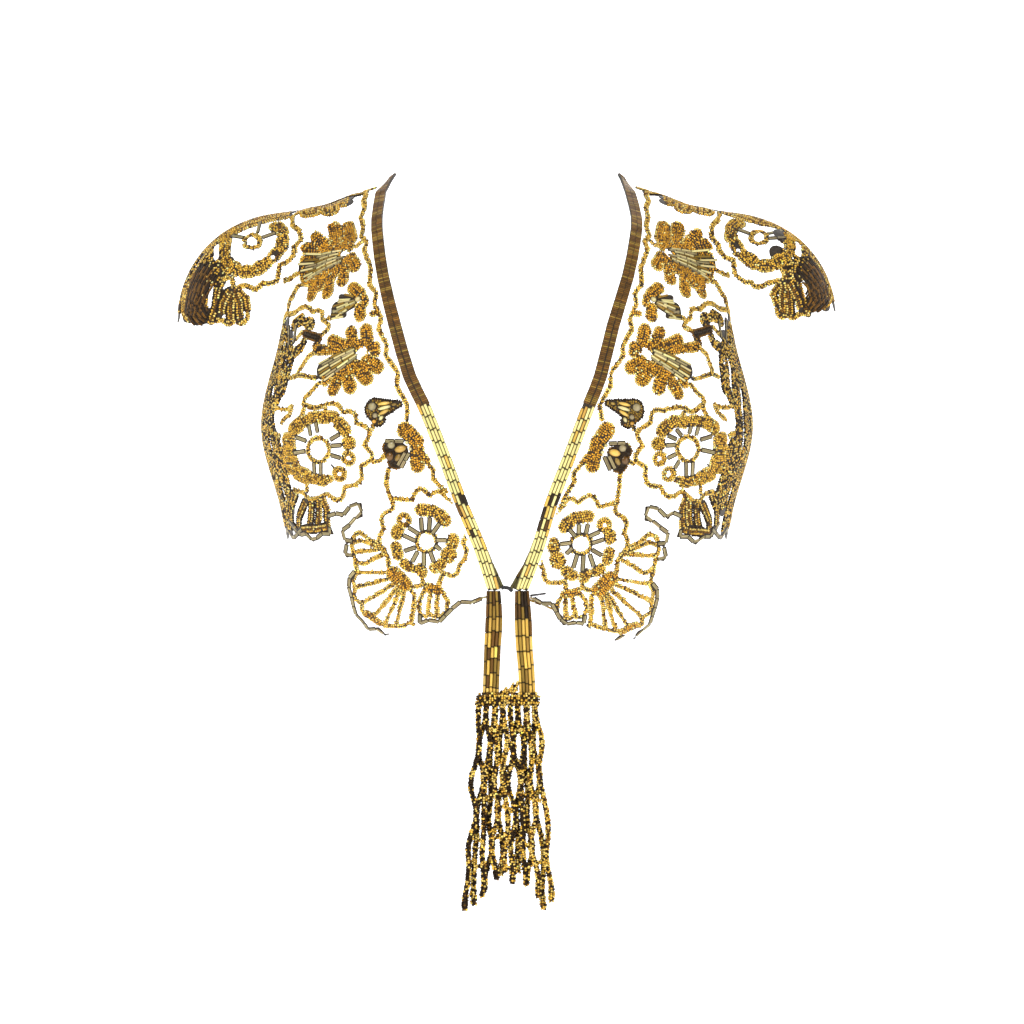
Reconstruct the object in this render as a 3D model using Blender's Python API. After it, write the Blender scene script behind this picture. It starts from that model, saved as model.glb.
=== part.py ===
"""Beaded lace shawl, shaped as it is worn, with nobody in it.

Four lace quarters and two shoulder caps hang from a neck band of bugle beads.
The band runs over the shoulders and down to a V in front and behind. A cord
and a hook close the front, and two bugle straps with netted fringe hang below.

The lace is set out on a layout grid: columns count to the viewer's right and
rows count down, one step is 0.68 mm. Each shape is laid on the rounded form
of a general figure, cut out of one thin sheet and thickened to a wall.
All lengths are in millimetres until the meshes are made.
"""
import math

import bpy
import numpy as np
from mathutils import Vector, geometry

# Layout grid
STEP = 0.68
AXIS_COLUMN = 507.0
NECK_ROW = 176.0

# Cloth
WALL = 2.0
STRAND = 1.85
SPOKE = 1.15
BUGLE_EDGE = 1.25
SEAM_HALF = 0.15
SEAM_CUT = 0.85
SEAM_TOLERANCE = 0.3
# Smallest gap cut (square mm) and how closely outlines are followed (mm)
FRONT_CUT = (14.0, 0.95)
BACK_CUT = (50.0, 1.9)
CAP_CUT = (16.0, 1.2)
GRID = 0.85
# Points to an arc of a strand, turn of a side strand's wave for each mm around,
# and how far a bar facing away from the front is made fuller
ARC_STEPS = 6
WAVE_TURN = 0.22
LEAST_FACING = 0.4

# Neck band, straps, clasp
BAND_THICK = 2.6
BAND_FOOT_ROW = 590.2
STRAP_THICK = 4.4
CORD_RADIUS = 1.5
HOOK_RADIUS = 0.9

# Fringe
FRINGE_HEAD_ROW = 697.0
FRINGE_STRAND = 1.45
FRINGE_WAVE = 1.9
FRINGE_NET = 34.0
FRINGE_APART = 1.8

# General figure under the lace: rounded solids, each with a centre height,
# a centre offset to the side, three half sizes and a squareness.
MID = -110.0
ROUND = 150.0
SOFT = 0.03
# The widest round draws in above and below its middle
FLARE_BELOW = -150.0
WAIST_IN = 10.0
WAIST_RUN = 60.0
CHEST_IN = 8.5
CHEST_RUN = 60.0
FIGURE = (
    # aside, height, half width, half depth, half height, squareness
    (0.0, -170.0, 166.5, 118.0, 170.0, 2.6),
    (0.0, -63.5, 151.0, 62.0, 61.5, 2.5),
    (0.0, -32.0, 92.0, 60.0, 53.5, 2.2),
    (110.0, -60.0, 43.0, 42.0, 38.5, 4.0),
)
UPPER_ARM = ((140.0, -106.0, 84.0, 54.0, 81.0, 2.25),)

# Neck band centre line from the V's foot up to the shoulder
BAND = (
    # left column, right column, row, width in mm
    (493.5, 522.0, 589.0, 8.6),
    (479.5, 538.5, 546.0, 8.8),
    (461.5, 551.0, 504.0, 8.8),
    (446.5, 567.0, 463.0, 8.8),
    (423.5, 589.0, 405.0, 8.9),
    (409.5, 600.5, 376.0, 8.9),
    (395.0, 613.0, 326.0, 8.7),
    (383.0, 628.0, 276.0, 8.2),
    (378.0, 635.0, 240.0, 8.1),
    (377.0, 636.5, 218.0, 8.0),
    (381.0, 630.0, 192.0, 7.4),
)
# Where it crosses the shoulder: distance aside, height, width
BAND_TOP = (77.0, -0.5, 5.0)

# Behind, the band's two feet close up below this height: foot's distance aside
BACK_JOIN = -251.0
BACK_FOOT = 5.6

# How far the right side's pattern is off a plain mirror image of the left's
SHIFTS = (
    # column, row, shift in columns, shift in rows
    (262.0, 219.0, 0.0, 0.0),
    (300.0, 211.0, 0.0, -1.0),
    (330.0, 206.0, 0.0, -2.0),
    (354.0, 196.0, 1.0, -1.0),
    (366.0, 193.0, 2.0, 0.0),
    (210.0, 250.0, 0.0, 0.0),
    (252.0, 241.5, 3.4, -4.0),
    (282.0, 231.5, 0.0, -3.0),
    (282.0, 246.5, 1.0, -9.0),
    (265.0, 263.0, 4.0, -7.5),
    (238.0, 270.0, 1.0, -7.0),
    (225.0, 250.0, -2.0, -7.0),
    (293.0, 226.0, 4.0, -5.0),
    (297.0, 244.0, 2.0, -2.0),
    (292.0, 257.0, 0.0, -3.0),
    (279.0, 273.0, 1.0, -6.0),
    (262.0, 284.0, 1.0, -1.0),
    (248.0, 287.0, -2.0, -3.0),
    (234.0, 290.0, -5.0, -8.0),
    (247.0, 312.0, -11.0, -6.0),
    (222.0, 318.0, -7.0, -6.0),
    (204.0, 276.0, 0.0, -4.0),
    (192.0, 296.0, 0.0, -10.0),
    (195.0, 314.0, 1.0, -14.0),
    (306.0, 247.0, 0.0, -4.0),
    (334.0, 230.0, 2.0, 0.0),
    (325.0, 268.0, 0.0, -3.0),
    (349.0, 244.0, 2.0, -1.0),
    (362.0, 220.0, 5.0, 0.0),
    (371.0, 300.0, 3.0, 0.0),
    (345.0, 305.0, 2.0, 1.0),
    (302.0, 338.0, -1.0, -5.0),
    (346.0, 362.0, 6.0, 1.0),
    (376.0, 409.5, 5.0, 1.0),
    (378.0, 419.0, 8.0, 2.0),
    (399.0, 404.0, 7.0, -1.0),
    (407.0, 412.0, 7.0, 0.0),
    (405.0, 430.0, 2.0, 0.0),
    (416.0, 441.0, 1.0, 4.0),
    (417.5, 465.5, 4.0, 0.0),
    (397.0, 454.0, -1.5, 4.0),
    (433.0, 475.0, 7.0, 3.0),
    (387.0, 483.0, 8.5, 2.0),
    (391.0, 500.0, 6.0, 4.0),
    (415.0, 496.0, 3.0, 7.0),
    (435.0, 492.0, 6.0, 7.0),
    (455.0, 503.0, 1.0, 8.0),
    (292.0, 407.0, 7.0, -2.0),
    (281.0, 422.0, 7.0, -3.0),
    (272.0, 424.0, 3.0, 0.0),
    (276.0, 452.0, 4.0, 0.0),
    (331.0, 403.0, 2.0, 4.0),
    (349.0, 411.0, 7.0, -1.5),
    (364.0, 445.0, 7.0, 1.0),
    (361.0, 470.0, 7.0, 1.0),
    (346.0, 487.0, 8.0, 0.0),
    (334.0, 500.0, 4.0, -4.0),
    (319.0, 449.0, 8.0, -2.0),
    (325.0, 417.0, 7.5, 5.0),
    (343.0, 470.0, 5.0, 0.0),
    (318.0, 479.0, 7.0, 2.0),
    (425.0, 542.0, 6.5, 2.0),
    (428.0, 510.0, 5.0, 7.0),
    (462.0, 545.0, 8.0, 4.0),
    (455.0, 576.0, 12.0, 7.0),
    (443.0, 574.0, 6.0, 8.0),
    (361.5, 510.0, 7.0, 4.0),
    (344.0, 530.0, 3.0, 3.0),
    (360.0, 533.0, 4.0, 1.5),
    (345.0, 552.0, 3.0, 3.0),
    (384.0, 552.0, 9.0, 5.0),
    (397.0, 577.0, 10.0, 5.0),
    (375.0, 572.0, 6.0, 9.0),
    (356.0, 574.0, 7.0, 12.0),
    (354.0, 592.0, 8.0, 14.0),
    (363.0, 606.0, 10.0, 14.0),
    (373.0, 620.0, 13.0, 10.0),
    (387.0, 627.0, 14.0, 5.0),
    (404.0, 626.0, 13.0, 1.0),
    (414.0, 606.0, 8.0, 0.0),
    (434.0, 600.0, 12.0, 3.0),
    (470.0, 602.0, 1.0, 1.0),
    (482.0, 598.0, -1.5, 0.0),
    (310.0, 510.0, 6.0, 3.0),
)
# How much higher the right cap's side hangs, in mm
RIGHT_RISE = 7.5

# Motifs: each bar runs from a foot to a tip
MOTIFS = (
    # part, then leaf bars, bead lobes and cuts, each as
    # (foot column, foot row, tip column, tip row, foot radius, tip radius) in layout steps
    ("front",
     ((312, 268, 338, 258, 11.0, 8.5),),
     ((328, 249, 307, 248, 5.0, 6.6), (326, 246, 316, 237.5, 6.0, 6.6),
      (336, 243, 334, 228, 6.5, 6.2), (349, 241, 346.8, 228, 7.3, 6.2),
      (351, 257, 355, 266, 5.0, 6.3), (345, 270, 342.5, 280, 5.0, 6.5),
      (329, 284, 327.5, 292, 6.0, 6.4), (316, 287, 312, 293.5, 5.5, 6.4),
      (324, 251, 349, 248, 4.6, 4.6), (337, 250, 345, 262, 5.0, 6.0),
      (341, 262, 349, 258, 7.0, 4.0), (326, 278, 344, 268, 6.0, 4.0),
      (309, 276, 330, 275, 8.0, 7.5), (313, 284, 320, 284, 6.5, 6.5),
      (306, 262, 314, 260, 7.0, 7.0)),
     ((339.5, 260, 344, 254, 2.2, 3.2),)),
    ("front",
     ((325, 370, 352, 354, 10.5, 8.0),),
     ((353, 341, 351, 332, 6.0, 6.5), (367, 339, 366, 330, 7.0, 7.0),
      (343, 345, 332.5, 341, 6.0, 6.6), (338, 350, 317, 350, 4.5, 5.2),
      (375, 352, 375, 346, 5.8, 5.6), (368, 362, 377, 367, 8.5, 7.6),
      (361, 370, 366, 378, 9.0, 8.1), (347, 378, 350, 387, 7.0, 7.4),
      (336, 383, 332.5, 390.5, 7.0, 6.0), (325, 382, 327, 378, 4.5, 6.0),
      (350, 344, 370, 346, 6.5, 6.5), (340, 374, 360, 366, 8.0, 7.0)),
     ((358, 355, 363, 350.5, 2.4, 3.3),)),
    ("front",
     ((338, 309, 352, 303, 8.5, 6.0), (341, 297, 353, 298, 3.6, 3.6),
      (334, 315, 344, 315, 4.6, 3.6)),
     ((353, 288, 360, 294, 6.4, 6.4), (364, 297, 365, 303, 4.6, 4.4),
      (360, 308, 360, 315.5, 6.2, 6.6), (372, 313.5, 378, 313, 3.4, 3.2)),
     ()),
    ("front",
     ((391, 447.5, 400, 451, 9.6, 9.2), (396, 460, 401, 456, 9.8, 8.2)),
     ((405, 430, 416, 441, 8.8, 8.2), (416, 441, 417.5, 465.5, 8.0, 7.8),
      (421, 452, 427, 462, 4.6, 3.6)),
     ()),
    ("front",
     ((305, 334, 319, 338, 3.7, 3.7), (319, 338, 316, 347, 3.4, 4.6)),
     ((294, 325, 301, 320, 4.4, 4.4), (310, 324.5, 308, 323, 5.7, 5.0),
      (294, 323, 310, 322, 3.0, 3.0), (304, 341, 301, 348, 3.7, 3.7),
      (301, 348, 294, 353, 3.9, 4.4), (316, 347, 318, 350, 4.4, 4.0)),
     ()),
    ("front",
     (),
     ((394, 574, 404, 584, 8.5, 8.5), (428, 589, 439, 590, 4.6, 4.6),
      (368, 614, 378, 622, 4.2, 4.2)),
     ()),
    ("front",
     (),
     ((287, 338, 291, 357, 2.6, 5.6), (291, 357, 286, 372, 5.6, 6.4),
      (286, 372, 282, 390, 6.8, 5.0), (280, 392, 275, 405, 5.0, 4.0),
      (272, 403, 271, 426, 5.0, 5.5), (272, 426, 273, 441, 4.6, 4.0),
      (277, 447, 282, 470, 6.5, 7.5), (282, 470, 286, 486, 7.0, 7.0),
      (286, 486, 291, 500, 7.0, 6.0)),
     ((283.5, 344, 283.5, 348, 0.9, 0.9), (288.0, 364, 288.0, 366, 0.8, 0.8))),
    ("cap",
     ((204, 276, 197, 291, 14.5, 13.5), (197, 291, 193.5, 305, 13.5, 13.0),
      (193.5, 305, 198, 314, 13.0, 10.5), (198, 315, 203, 319, 9.0, 5.5)),
     ((212, 258, 205, 276, 8.5, 14.0), (216, 262, 212, 279, 5.0, 5.5),
      (209, 284, 204, 312, 5.0, 4.5)),
     ((216.5, 246, 216.5, 257, 2.6, 2.6), (211.5, 289, 209.5, 305, 2.4, 2.0))),
)
# Flowers: an eye ring, bugle spokes and petals, some of them with a hole
FLOWERS = (
    # part, column, row, ring across, ring up, petals, spokes
    # petals as (column, row, column, row, radius, hole) and spokes as (from, to) in steps
    ("front", 318.5, 450.0, 10.5, 12.2,
     ((334, 417.5, 322, 417, 6.4, 0.0), (322, 417, 311, 418, 6.0, 0.0),
      (311, 418, 300, 424, 5.6, 0.0), (300, 424, 293, 430, 6.6, 0.0),
      (290, 441, 287, 441, 7.0, 0.0), (291, 452, 287, 452, 7.6, 0.0),
      (292, 463, 287, 463, 8.6, 0.0), (306, 476, 296, 472, 7.0, 0.0),
      (314, 478, 306, 477, 5.6, 0.0), (323.5, 480, 315, 479, 5.8, 0.0),
      (340, 474, 339, 474, 7.8, 2.4), (348.5, 458.5, 348, 458, 7.8, 2.4),
      (349, 443, 348, 443, 7.4, 0.0), (345, 430, 339, 423, 7.2, 0.0),
      (330, 479, 322, 480, 4.0, 0.0)),
     ((307, 441, 296, 437), (306, 451, 294, 453), (307, 459, 296, 468), (314, 462, 315, 474),
      (321, 462, 321, 475), (328, 461, 334, 468), (331, 455, 341, 458), (331, 446, 342, 445),
      (330, 440, 340, 434), (325, 436, 331, 425), (318, 433, 316, 422), (311, 436, 309, 425))),
    ("front", 426.5, 541.5, 10.2, 10.4,
     ((404, 520.5, 404, 520, 8.3, 2.4), (397, 534, 398, 530, 6.8, 0.0),
      (396, 547, 398, 555, 6.0, 0.0), (408, 566, 405, 564, 6.2, 0.0),
      (421, 568, 422, 573, 5.9, 0.0), (435, 568, 441, 564, 6.2, 0.0),
      (448, 556, 449, 554, 8.3, 0.0), (453, 539.5, 452, 544, 6.8, 0.0),
      (444.5, 520.5, 440, 515, 7.2, 0.0), (421, 509.5, 435, 511.5, 6.8, 0.0),
      (410, 568, 418, 570, 4.4, 0.0)),
     ((408, 527, 419, 534), (403, 535, 416, 541), (404, 551, 416, 547), (412, 562, 418, 551),
      (424, 566, 424, 552), (434, 562, 430, 551), (441, 550, 435, 545), (447, 540, 436, 540),
      (440, 523, 432, 534), (421, 517, 422, 531), (430, 517, 429, 531))),
    ("cap", 252.0, 241.5, 8.0, 6.8,
     ((282, 231.5, 276, 226, 6.4, 0.0), (282, 246.5, 283, 238, 6.2, 0.0),
      (272.5, 257.5, 278, 251, 6.4, 1.8), (257.5, 269, 265, 263, 7.4, 0.0),
      (244, 272, 251, 271, 6.9, 0.0), (233, 267, 237, 270, 6.9, 0.0),
      (225, 245, 224, 257, 5.9, 0.0), (231, 233, 225, 240, 5.4, 0.0),
      (262, 266, 268, 260, 4.4, 0.0), (226, 260, 230, 265, 4.6, 0.0)),
     ((260, 222, 257, 234), (247, 224, 246, 235), (232, 236, 244, 238), (230, 244, 244, 243),
      (262, 238, 276, 233), (249, 249, 248, 262), (256, 249, 260, 262))),
)
DROP = (
    # column, row, column, row, radius, radius
    (376, 409.5, 399, 404, 12.6, 4.0),
    (376, 410, 378, 419, 12.0, 8.2),
)
DROP_MIDDLE = (382.0, 409.0)

# Strands: each point's bulge is how far the arc to the next point stands out to the left
STRANDS = (
    # part, radius in mm, points as (column, row, bulge)
    ("front", STRAND, ((366, 190, 0), (366, 196, 0), (363.5, 201, 0), (365, 208, 0),
                       (361, 217, 0), (363.5, 227, 0), (361.5, 236, 0), (367, 242.5, 0),
                       (364, 249, 0), (371, 268, 0.5), (369.5, 285, 0), (376.5, 293, 0.8),
                       (374.5, 304, 0), (381.5, 319, 0.5), (378.5, 329, 0), (387, 345, 1),
                       (385.5, 355, 0), (398, 373, 0.5), (396.5, 386, -1), (407.5, 405, 0.5),
                       (407, 420, 0))),
    ("front", STRAND, ((349, 247, 0), (357, 246, 0), (362, 241, 0))),
    ("front", 3.2, ((347, 197, 0), (356, 195, 0), (365, 193, 0))),
    ("front", 1.5, ((363, 191, 0), (376, 187.5, 0))),
    # Dense edge over the shoulder
    ("front", 6.5, ((285, 211, 0), (300, 207.5, 0), (320, 203.5, 0), (340, 197.5, 0),
                    (350, 193.5, 0))),
    ("front", 6.0, ((285, 212.5, 0), (300, 209, 0), (320, 205.5, 0), (340, 199.5, 0),
                    (350, 195.5, 0))),
    ("front", 4.6, ((287, 215, 0), (300, 212, 0), (320, 208, 0), (340, 202.5, 0),
                    (349, 199, 0))),
    ("front", 5.0, ((306, 211, 0), (307, 214, 0), (314, 213, 0), (314, 210, 0))),
    ("front", 5.0, ((327, 208, 0), (328, 212.5, 0), (333, 211, 0), (333, 207, 0))),
    ("front", 5.0, ((343, 200, 0), (343, 204, 0), (348, 203, 0))),
    ("front", STRAND, ((286, 214, 0), (294, 219, 0))),
    ("front", STRAND, ((306, 284, 0), (298, 286, 0), (293, 296, 0), (288, 308, 0), (288, 313, 0),
                       (282, 321, 0), (281.5, 332, 0))),
    ("front", STRAND, ((289, 314, -1.5), (299, 309, 4), (313, 312, 6), (322, 319, 7),
                       (322, 334, 0))),
    ("front", STRAND, ((328, 318, 0), (333, 318, 0))),
    ("front", 1.5, ((303, 331, 0), (297, 338, 0), (290, 347, 0))),
    ("front", SPOKE, ((296.5, 326, 0), (294, 343, 0))),
    ("front", SPOKE, ((289.5, 326, 0), (289.5, 346, 0))),
    ("front", STRAND, ((314, 352, 0), (307, 358, 0), (303, 365, 0), (298, 372, 0),
                       (299, 376, 0))),
    ("front", STRAND, ((290, 378, 0), (299, 375, 0), (317, 378, 0))),
    ("front", STRAND, ((320, 382, 0), (312, 391, 0), (305, 398, 0), (303, 405, 0))),
    ("front", STRAND, ((298, 420, -2), (304, 404, -4), (326, 404, 4.5), (343, 412, 6.5),
                       (356.5, 423, 10), (364, 445, 10), (361, 466, 9), (345, 487, 10.5),
                       (327, 494, 1.5), (308, 500, 0))),
    ("front", STRAND, ((325, 408, 0), (328, 416, 0))),
    ("front", STRAND, ((307, 480, 0), (307, 492, 0))),
    ("front", STRAND, ((294, 490, 0), (303, 492, 0), (309, 499, 0))),
    ("front", STRAND, ((270, 409, 0), (288, 409, 0), (292.5, 406, 0), (290, 414, 0),
                       (281, 423, 0))),
    ("front", STRAND, ((270, 432, 0), (280, 436, 0), (275, 445, 0))),
    ("front", STRAND, ((371, 431, 0), (374, 424, 0))),
    ("front", STRAND, ((371, 458, 0), (374, 462, 0), (380, 460, 0), (387, 454, 0))),
    ("front", STRAND, ((389, 468, 0), (386, 481, 0), (388, 490, 0), (391, 499, 1.5),
                       (392, 510, -6.5), (384, 529, -4.5), (383, 551, 0), (388, 556, 0),
                       (389, 570, 0))),
    ("front", STRAND, ((390, 498, 1), (412, 500, 9.5), (430, 496, 5.5), (446, 497, 0),
                       (455, 503, 0))),
    ("front", STRAND, ((426, 461, 0), (433.5, 470, 0), (433, 478, 0), (442, 488, 0),
                       (448, 492, 0), (455, 502, 0), (458.5, 506, 0), (458.5, 516, 7),
                       (463, 542, 5), (460, 565, 7), (443, 573, 0), (438, 587, 0))),
    ("front", STRAND, ((439, 566, 0), (443, 573, 0))),
    ("front", STRAND, ((422, 574, 0), (423, 585, 0))),
    # Lower side fan
    ("front", 3.2, ((296, 492, 0), (291, 508, 0), (292, 524, 0), (298, 532, 0))),
    ("front", 2.9, ((306, 501, 0), (299, 518, 0), (299, 530, 0), (310, 529, 0),
                    (318, 529, 0), (327, 527, 0))),
    ("front", 2.9, ((312, 500, 0), (311, 518, 0), (309, 528, 0))),
    ("front", 2.6, ((319, 500, 0), (319, 516, 0), (317, 528, 0))),
    ("front", 2.6, ((322, 498, 0), (327, 510, 0), (327, 526, 0))),
    # Upper left fan
    ("front", STRAND, ((352, 538, 5.5), (367, 538, 0), (380, 545, 0), (385, 550, 0))),
    ("front", STRAND, ((352, 543, 2), (366, 542, 0), (385, 550, 0))),
    ("front", STRAND, ((354, 552, 0), (382, 549, 0))),
    ("front", STRAND, ((356, 561, -3), (371, 560, 0), (386, 553, 0))),
    ("front", STRAND, ((352, 538, 0), (352, 546, 0), (355, 559, 0), (357, 572, -3),
                       (355, 588, -4), (362, 604, -4), (372, 619, 1), (385, 626, 0),
                       (403, 626, 0), (409, 623, 0), (414, 624, 0))),
    # Large fan
    ("front", STRAND, ((357, 572, 0), (394, 572, 0))),
    ("front", STRAND, ((356, 587, 1), (376, 582, 0), (394, 577, 0))),
    ("front", STRAND, ((362, 603, 0), (381, 592, 0), (396, 582, 0))),
    ("front", STRAND, ((372, 618, 0), (386, 602, 0), (397, 588, 0))),
    ("front", STRAND, ((385, 624, 0), (395, 602, 0), (400, 588, 0))),
    ("front", STRAND, ((396, 625, 0), (402, 602, 0), (405, 588, 0))),
    ("front", STRAND, ((411, 622, 0), (414, 606, 0), (414, 595, 0), (408, 586, 0))),
    # Small fan
    ("front", STRAND, ((404, 586, 0), (414, 587, 0), (424, 584, 0), (438, 587, 0))),
    ("front", STRAND, ((425, 589, 0), (420, 600, 0), (419, 608, 0), (421, 616, 0))),
    ("front", STRAND, ((431, 590, 0), (429, 603, 0), (428, 615, 0))),
    ("front", STRAND, ((438, 590, 0), (437, 604, 0), (437, 615, 0))),
    ("front", STRAND, ((441, 590, 0), (448, 601, 0), (447, 611, 0), (441, 617, 1.5),
                       (430, 614, 1.5), (420, 615, 0))),
    # Bugle edges
    ("front", BUGLE_EDGE, ((289, 520, 0), (300, 535, 0), (307, 533, 0), (313.5, 541, 0),
                           (323, 533, 0), (333, 534, 0), (330, 527, 0))),
    ("front", BUGLE_EDGE, ((328, 516, 0), (337, 513, 0), (342, 517, 0), (352, 504, 0),
                           (361, 503.5, 0), (362, 516.5, 0), (353, 518.5, 0), (349, 527, 0),
                           (342, 530.5, 0), (343, 535, 0), (347, 543, 0), (353, 541, 0))),
    ("front", BUGLE_EDGE, ((347, 544, 0), (344, 551, 0), (347, 557, 0), (353, 555, 0))),
    ("front", BUGLE_EDGE, ((355, 571, 0), (350, 575, 0), (349, 587, 0), (353, 601, 0),
                           (355, 613, 0), (364, 622, 0), (367, 629, 0), (379, 628, 0),
                           (385, 635, 0), (397, 631, 0), (404, 632, 0), (415, 624, 0))),
    ("front", BUGLE_EDGE, ((420, 614, 0), (420, 624, 0), (430, 619, 0), (441, 622, 0),
                           (448, 611, 0), (454, 607, 0), (461, 601, 0), (474, 602.5, 0),
                           (482, 598, 0))),
    # Shoulder cap: rim, strands to the front and the fan at its foot
    ("cap", 6.0, ((289, 211, 0), (270, 214, 0), (256, 218.5, 0), (243, 222.5, 0),
                  (228, 231, 0), (214, 239, 0), (203, 250, 0))),
    ("cap", 5.5, ((289, 213, 0), (270, 216, 0), (256, 220.5, 0), (243, 224.5, 0),
                  (230, 232.5, 0), (216, 241, 0), (205, 252, 0))),
    ("cap", 3.6, ((289, 216, 0), (270, 219.5, 0), (256, 223.5, 0), (243, 228, 0),
                  (230, 235.5, 0), (218, 243, 0), (208, 254, 0), (200, 266, 0),
                  (191, 281, 0), (184, 298, 0), (184, 311, 0), (191, 319, 0))),
    ("cap", STRAND, ((293, 216, 0), (293, 226, 3), (301, 240, 0), (294, 247, 1.5),
                     (292, 257, 1.5), (280, 265, 0), (278, 280, 0))),
    ("cap", STRAND, ((278, 280, 2), (262, 283, 5), (248, 286, -2), (236, 290, 0))),
    ("cap", STRAND, ((215, 280, 0), (222, 280, 0), (232, 277, 0), (234, 288, 0))),
    ("cap", 2.7, ((229, 290, 0), (222, 303, 0), (220, 314, 0))),
    ("cap", 2.7, ((231, 290, 0), (230, 303, 0), (230, 320, 0))),
    ("cap", 2.6, ((234, 290, 0), (238, 303, 0), (240, 320, 0))),
    ("cap", 2.2, ((238, 290, 0), (246, 299, 0), (248, 310, 0))),
    ("cap", 3.0, ((218, 290, 0), (216, 306, 0), (211, 321, 0))),
    ("cap", STRAND, ((209, 322, -1), (222, 320, -4.5), (235, 319, -4.5), (247, 319, 0),
                     (248, 307, 0))),
    ("cap", STRAND, ((223, 293, 0), (216, 290, 0), (212, 280, 0))),
    ("front", STRAND, ((284, 281, 0), (290, 279, 0), (297, 274, 0), (306, 269, 0))),
    ("front", STRAND, ((300, 243, 0), (309, 247, 0))),
)
SIDE_STRANDS = (
    # part, radius in mm, wave in mm, wave length in mm, points as (around, height)
    ("front", 5.6, 1.6, 34.0, ((3, -106), (3, -238))),
    ("front", 5.8, 1.9, 34.0, ((17, -99), (15, -130), (18, -170), (17, -240))),
    ("front", 5.8, 1.9, 34.0, ((31, -102), (29, -130), (33, -170), (32, -200), (34, -240))),
    ("front", 5.4, 1.9, 34.0, ((44, -110), (42, -130), (46, -152))),
    ("front", 5.4, 1.9, 34.0, ((46, -176), (46, -200), (48, -226))),
    ("front", BUGLE_EDGE, 0.0, 1.0, ((0, -246), (24, -240), (40, -246), (60, -240))),
    ("cap", 6.5, 0.0, 1.0, ((3, -42), (3, -93))),
    ("cap", 6.5, 0.0, 1.0, ((16, -48), (16, -93))),
    ("cap", 6.0, 0.0, 1.0, ((28, -60), (28, -94))),
)

FRINGE = (
    # side, head column, foot column, foot row
    ("left", 481.0, 465.5, 911.0),
    ("left", 485.0, 472.5, 906.0),
    ("left", 489.0, 481.0, 897.0),
    ("left", 493.0, 488.0, 883.0),
    ("left", 497.0, 494.5, 880.0),
    ("left", 501.0, 500.5, 876.0),
    ("left", 504.5, 506.0, 872.0),
    ("right", 511.5, 512.5, 884.0),
    ("right", 515.5, 518.5, 873.0),
    ("right", 519.5, 524.5, 880.0),
    ("right", 523.5, 530.5, 886.0),
    ("right", 528.0, 537.0, 898.0),
    ("right", 532.0, 544.5, 910.0),
    ("right", 536.0, 551.5, 902.0),
)
STRAPS = (
    # row, left column, right column, half width in columns
    (591.0, 493.5, 522.0, 7.4),
    (606.0, 494.0, 522.6, 8.4),
    (624.0, 494.0, 523.4, 9.2),
    (645.0, 492.6, 524.0, 8.8),
    (670.0, 491.6, 526.4, 8.6),
    (696.0, 490.6, 527.6, 8.6),
)


def figure_level(points, arm):
    """Value of the figure's rounded form: 0 on the skin, more outside."""
    total = 0.0
    for aside, height, wide, deep, tall, square in FIGURE + (UPPER_ARM if arm else ()):
        if height < FLARE_BELOW:
            low = np.clip((height - points[:, 2]) / WAIST_RUN, 0.0, 1.0)
            high = np.clip((points[:, 2] - height) / CHEST_RUN, 0.0, 1.0)
            wide = (wide - WAIST_IN * low * low * (3.0 - 2.0 * low)
                    - CHEST_IN * high * high * (3.0 - 2.0 * high))
        reach = (np.abs((np.abs(points[:, 0]) - aside) / wide) ** square
                 + np.abs(points[:, 1] / deep) ** square
                 + np.abs((points[:, 2] - height) / tall) ** square) ** (1.0 / square)
        total = total + np.exp((1.0 - reach) / SOFT)
    return -SOFT * np.log(total)


def figure_normal(points, arm):
    """Outward unit normals of the form at the points."""
    slope = np.empty_like(points)
    for axis in range(3):
        nudge = np.zeros(3)
        nudge[axis] = 0.4
        slope[:, axis] = figure_level(points + nudge, arm) - figure_level(points - nudge, arm)
    return slope / np.linalg.norm(slope, axis=1, keepdims=True)


def halve(near, far, arm):
    """Point on each line from near (inside) to far (outside) that is on the skin."""
    for _ in range(26):
        middle = (near + far) / 2.0
        inside = (figure_level(middle, arm) < 0.0)[:, None]
        near = np.where(inside, middle, near)
        far = np.where(inside, far, middle)
    return (near + far) / 2.0


def lift(chart, arm):
    """Chart points (around, up) of the left side as points on the form."""
    turn = chart[:, 0] / ROUND
    rise = np.maximum(chart[:, 1], 0.0) / ROUND
    start = np.zeros((len(chart), 3))
    start[:, 2] = MID + np.minimum(chart[:, 1], 0.0)
    way = np.stack((-np.cos(turn) * np.cos(rise), -np.sin(turn) * np.cos(rise), np.sin(rise)), 1)
    return halve(start, start + 330.0 * way, arm)


def chart_of(points):
    """Chart coordinates of points near the form."""
    turn = np.arctan2(-points[:, 1], -points[:, 0])
    over = points[:, 2] - MID
    rise = np.arctan2(over, np.hypot(points[:, 0], points[:, 1])) * ROUND
    return np.stack((turn * ROUND, np.where(over < 0.0, over, rise)), 1)


def settle(points, arm):
    """Bring points near the form onto it."""
    return lift(chart_of(points), arm)


def moved(spots, right):
    """Layout positions, moved by the right side's shifts where they apply."""
    spots = np.array(spots, dtype=float)
    if right:
        table = np.array(SHIFTS)
        away = np.linalg.norm(spots[:, None] - table[None, :, :2], axis=2)
        weight = 1.0 / (away + 4.0) ** 4
        spots = spots + (weight @ table[:, 2:]) / weight.sum(1, keepdims=True)
    return spots


def seen(spots, arm=False):
    """Layout positions as points on the front of the form, left side."""
    rows = [((column - AXIS_COLUMN) * STEP, 0.0, (NECK_ROW - row) * STEP)
            for column, row in spots]
    near = np.array(rows)
    far = near + np.array((0.0, -220.0, 0.0))
    return settle(halve(near, far, arm), arm)


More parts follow.
